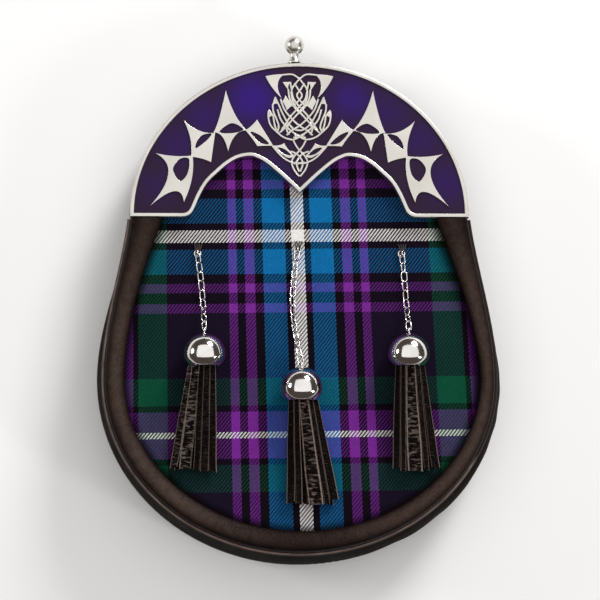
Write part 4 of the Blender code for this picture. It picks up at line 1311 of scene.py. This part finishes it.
def buildTassel(tassel):
    side, shape = tassel["side"], stripShape
    bellX, mouthY = tassel["bell"][0], tassel["bell"][1] - bellShape["length"]
    lie = gap + shape["thick"] * 0.6
    table = tasselStrips[side]
    strips = []
    for i, (top, bottom, topWidth, endWidth, creased, length) in enumerate(table):
        rise = math.sqrt(max(0.0, 1 - (top * millimetre / shape["bundle"]) ** 2 * 0.8))
        mouth = Vector((bellX + top * millimetre * 0.8, mouthY,
                        bellAxis + shape["bundle"] * 0.72 * rise))
        layer = 3 if creased > 0.4 else 2 + 0.4 * (i % 2)
        end = Vector((bellX + bottom * millimetre, mouthY - shape["length"] * length,
                      lie + layer * shape["lieStep"]))
        widths = (topWidth * millimetre, endWidth * millimetre)
        strips.append((mouth, end, widths, -0.10 * top, creased))
    # plainer strips below them, spread over the same width
    low, high = table[0][1] * millimetre, table[-1][1] * millimetre
    for row, count in enumerate(shape["underRows"]):
        for i in range(count):
            share = (i + 0.5) / count
            mouth = Vector((bellX + (share - 0.5) * shape["underSpread"], mouthY,
                            bellAxis + (row - 1) * shape["underStep"]))
            end = Vector((bellX + between(low, high, share),
                          mouthY - shape["length"] * random.uniform(0.95, 0.99),
                          lie + (row + 0.2 * (i % 2)) * shape["lieStep"]))
            strips.append((mouth, end, shape["underWidths"], 0.0, 0.2))
    parts = [stripPart(*strip, i * 3.7 + bellX * 1000) for i, strip in enumerate(strips)]
    points, faces = merge([(some, their) for some, their, mask in parts])
    masks = [value for some, their, mask in parts for value in mask]
    piece = addMesh("tassel_strips_" + side, points, faces, faceMatrix, strip=masks)
    dress(piece, "strip", ["tassel_" + side], 50)


for tassel in tassels:
    buildChain(tassel)
    buildBell(tassel)
    buildTassel(tassel)
print("chains, bells and tassels made")


# back: panel with its mouth, bowed flap, stud and belt loops
back = dict(mouthWidth=0.112, mouthHeight=0.017, mouthDrop=0.027, edge=0.0004,
            steps=(90, 30, 110), flapMargin=0.008, tongue=0.034, standOff=0.0046, stitchIn=0.0026)
floorWay = Vector((0, 0, -1))


def stadium(width, height, middleY, count=24, grow=0.0):
    end = height / 2 + grow
    points = []
    for side in (1, -1):
        places = arc(side * end, side * end, math.pi / 2, -math.pi / 2, count)
        points += [(side * (width - height) / 2 + x, middleY + y) for x, y in places]
    return points


def buildBack():
    edge = rear.grown(-pouch["leather"] - gap).closed(*back["steps"])
    size = back["mouthWidth"], back["mouthHeight"], -back["mouthDrop"]
    panel = flatShape("back_leather", [edge, stadium(*size)], backOuter, backInner, bodyMatrix,
                      back["edge"])
    dress(panel, "back", ["back_panel"], 40)
    hem = stadium(*size, grow=back["stitchIn"])
    route = atLevel(hem + hem[:1], backOuter)
    layThread("back_stitches", stitchParts(route, [floorWay] * len(route)), bodyMatrix)


# the flap's rows from its top: share of its length, width there, how far it stands off
flapRows = [(0.00, 1.00, 0.00), (0.08, 1.00, 0.10), (0.22, 1.00, 1.00), (0.45, 1.00, 1.00),
            (0.62, 0.88, 0.85), (0.78, 0.60, 0.10), (0.92, 0.34, 0.00), (1.00, 0.20, 0.00)]
flapShape = dict(columns=28, rows=48, creaseSize=0.012, creaseDepth=0.0002, thickness=0.96,
                 hem=0.95, hemSteps=60, hemEnds=3)
smoothFlap = smoothRoute(flapRows, 5)


def flapPoint(across, length):
    top = back["mouthHeight"] / 2 + back["flapMargin"] - back["mouthDrop"]
    reach = back["mouthHeight"] + back["flapMargin"] + back["tongue"]
    half = back["mouthWidth"] / 2 + back["flapMargin"]
    last = len(smoothFlap) - 1
    k, rest = divmod(min(last - 0.001, length * last), 1)
    share, width, standOff = smoothFlap[int(k)].lerp(smoothFlap[int(k) + 1], rest)
    return Vector((half * width * across, top - reach * share,
                   backOuter - gap - back["standOff"] * standOff))


def buildFlap():
    shape = flapShape
    rows = [[flapPoint(2 * k / shape["columns"] - 1, i / shape["rows"])
             for k in range(shape["columns"] + 1)] for i in range(shape["rows"] + 1)]
    for place in (place for row in rows for place in row):
        place.z = min(place.z + abs(crease(place, shape)), backOuter - gap)
    flap = addMesh("flap_leather", *quads(rows), bodyMatrix)
    thicken(flap, pouch["leather"] * shape["thickness"], 1)
    dress(flap, "back", ["back_flap"], 50)
    steps = range(shape["hemEnds"], shape["hemSteps"] - shape["hemEnds"])
    hem = [flapPoint(-shape["hem"], i / shape["hemSteps"]) for i in steps]
    hem += [flapPoint(shape["hem"], i / shape["hemSteps"]) for i in steps[::-1]]
    layThread("flap_stitches", stitchParts(hem, [floorWay] * len(hem), lift=pouch["leather"]),
              bodyMatrix)


studShape = dict(head=0.0022, shank=0.0016, bevel=0.0003)


def buildStud():
    low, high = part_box("flap_stud")
    radius, x, y = (high.x - low.x) / 2, (low.x + high.x) / 2, (low.y + high.y) / 2
    head, shank = low.z + studShape["head"], studShape["shank"]
    profile = [(0.0, high.z), (shank, high.z), (shank, head), (radius * 0.96, head)]
    dome = head - studShape["bevel"]
    profile += [(r, dome + h) for r, h in arc(radius, low.z - dome, 0, math.pi / 2, 12)]
    stud = weld(addMesh("stud_head", *turned(profile, Matrix.Translation((x, y, 0)), 40)))
    dress(stud, "silver", ["flap_stud"], 40)


# a belt loop's rows: share of its length, how far it stands off; and its rows of stitches
loopProfile = [(0.00, 0.0), (0.17, 0.0), (0.30, 1.0), (0.50, 1.0), (0.70, 1.0), (0.83, 0.0),
               (1.00, 0.0)]
loopShape = dict(columns=12, rows=8, thickness=0.97, stitchRows=(0.07, 0.13, 0.87, 0.93),
                 stitchIn=0.002, lift=0.0001)


def buildBeltLoop(side):
    shape, node = loopShape, "belt_loop_" + side
    low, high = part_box(node)
    base = high.z - pouch["leather"]
    places = []
    for a, b in zip(loopProfile, loopProfile[1:]):
        for t in (k / shape["rows"] for k in range(shape["rows"])):
            places.append((between(a[0], b[0], t), between(a[1], b[1], eased(t))))
    rows = []
    for length, standOff in places + loopProfile[-1:]:
        y, z = between(low.y, high.y, length), base * (1 - standOff)
        rows.append([Vector((between(low.x, high.x, k / shape["columns"]), y, z))
                     for k in range(shape["columns"] + 1)])
    strap = addMesh("loop_leather_" + side, *quads(rows))
    thicken(strap, pouch["leather"] * shape["thickness"], 1)
    dress(strap, "back", [node], 50)
    parts = []
    for share in shape["stitchRows"]:
        y = between(low.y, high.y, share)
        route = atLevel([(low.x + shape["stitchIn"], y), (high.x - shape["stitchIn"], y)], base)
        parts += stitchParts(route, [floorWay], lift=shape["lift"])
    layThread("loop_stitches_" + side, parts)


buildBack()
buildFlap()
buildStud()
buildBeltLoop("left")
buildBeltLoop("right")
print("back made")

# the wall behind the cloth stays as its solid is
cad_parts["front_wall"].data.materials.clear()
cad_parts["front_wall"].data.materials.append(materials["body"])


# floor, light and camera
studio = dict(
    floor=srgb(250, 250, 250), world=(0.07, 0.055, 0.048, 1.0),
    lights=[
        dict(name="overhead", place=(0.2, 0.35, 1.4), aim=(0.2, 0.35, 0.0), size=(3.0, 2.5),
             power=23),
        dict(name="key", place=(1.1, 2.0, 1.1), aim=(0.0, 0.0, 0.02), size=(0.8, 0.8), power=46),
        dict(name="side", place=(-2.0, 0.5, 0.7), aim=(0.0, 0.0, 0.02), size=(0.3, 0.5), power=12),
        dict(name="low", place=(1.7, -0.9, 0.9), aim=(0.0, 0.0, 0.02), size=(0.3, 0.3), power=8),
    ],
    floorSize=4.0, floorDrop=0.0002, sensor=36, picture=600, metresPerPixel=0.000475,
    cameraDistance=1.4, cameraLeft=2.6, cameraLow=1.5, aim=(0.0, 0.0002, 0.033),
)


def buildFloor():
    size = studio["floorSize"]
    corners = [(-size, -size, 0), (size, -size, 0), (size, size, 0), (-size, size, 0)]
    floor = addMesh("floor", corners, [(0, 1, 2, 3)])
    shade = Shade("floor_paper")
    tone = shade.noise(3, 2.0)
    shade.finish(colour=shade.mix(tone * 0.1, studio["floor"], grey(0.88)), rough=0.9)
    floor.data.materials.append(shade.material)
    floor.location.z = -studio["floorDrop"]


def aimAt(obj, target):
    # looks at the target with the scene's +Y upwards
    away = (obj.location - Vector(target)).normalized()
    right = Vector((0, 1, 0)).cross(away).normalized()
    obj.rotation_euler = Matrix((right, away.cross(right), away)).transposed().to_euler()


def buildLights():
    world = bpy.data.worlds.new("studio")
    world.use_nodes = True
    world.node_tree.nodes["Background"].inputs[0].default_value = studio["world"]
    bpy.context.scene.world = world
    for light in studio["lights"]:
        data = bpy.data.lights.new(light["name"], "AREA")
        data.shape = "RECTANGLE"
        data.size, data.size_y = light["size"]
        data.energy = light["power"]
        lamp = inScene(light["name"], data)
        lamp.location = light["place"]
        aimAt(lamp, light["aim"])


def buildCamera():
    data = bpy.data.cameras.new("camera")
    data.sensor_width = studio["sensor"]
    across = studio["picture"] * studio["metresPerPixel"]
    data.lens = studio["sensor"] * studio["cameraDistance"] / across
    camera = inScene("camera", data)
    left, low = math.radians(studio["cameraLeft"]), math.radians(studio["cameraLow"])
    way = Vector((-math.sin(left), -math.sin(low), math.cos(left) * math.cos(low)))
    camera.location = Vector(studio["aim"]) + studio["cameraDistance"] * way
    aimAt(camera, studio["aim"])
    bpy.context.scene.camera = camera


buildFloor()
buildLights()
buildCamera()
bpy.context.scene.view_settings.view_transform = "Standard"
print("studio made")
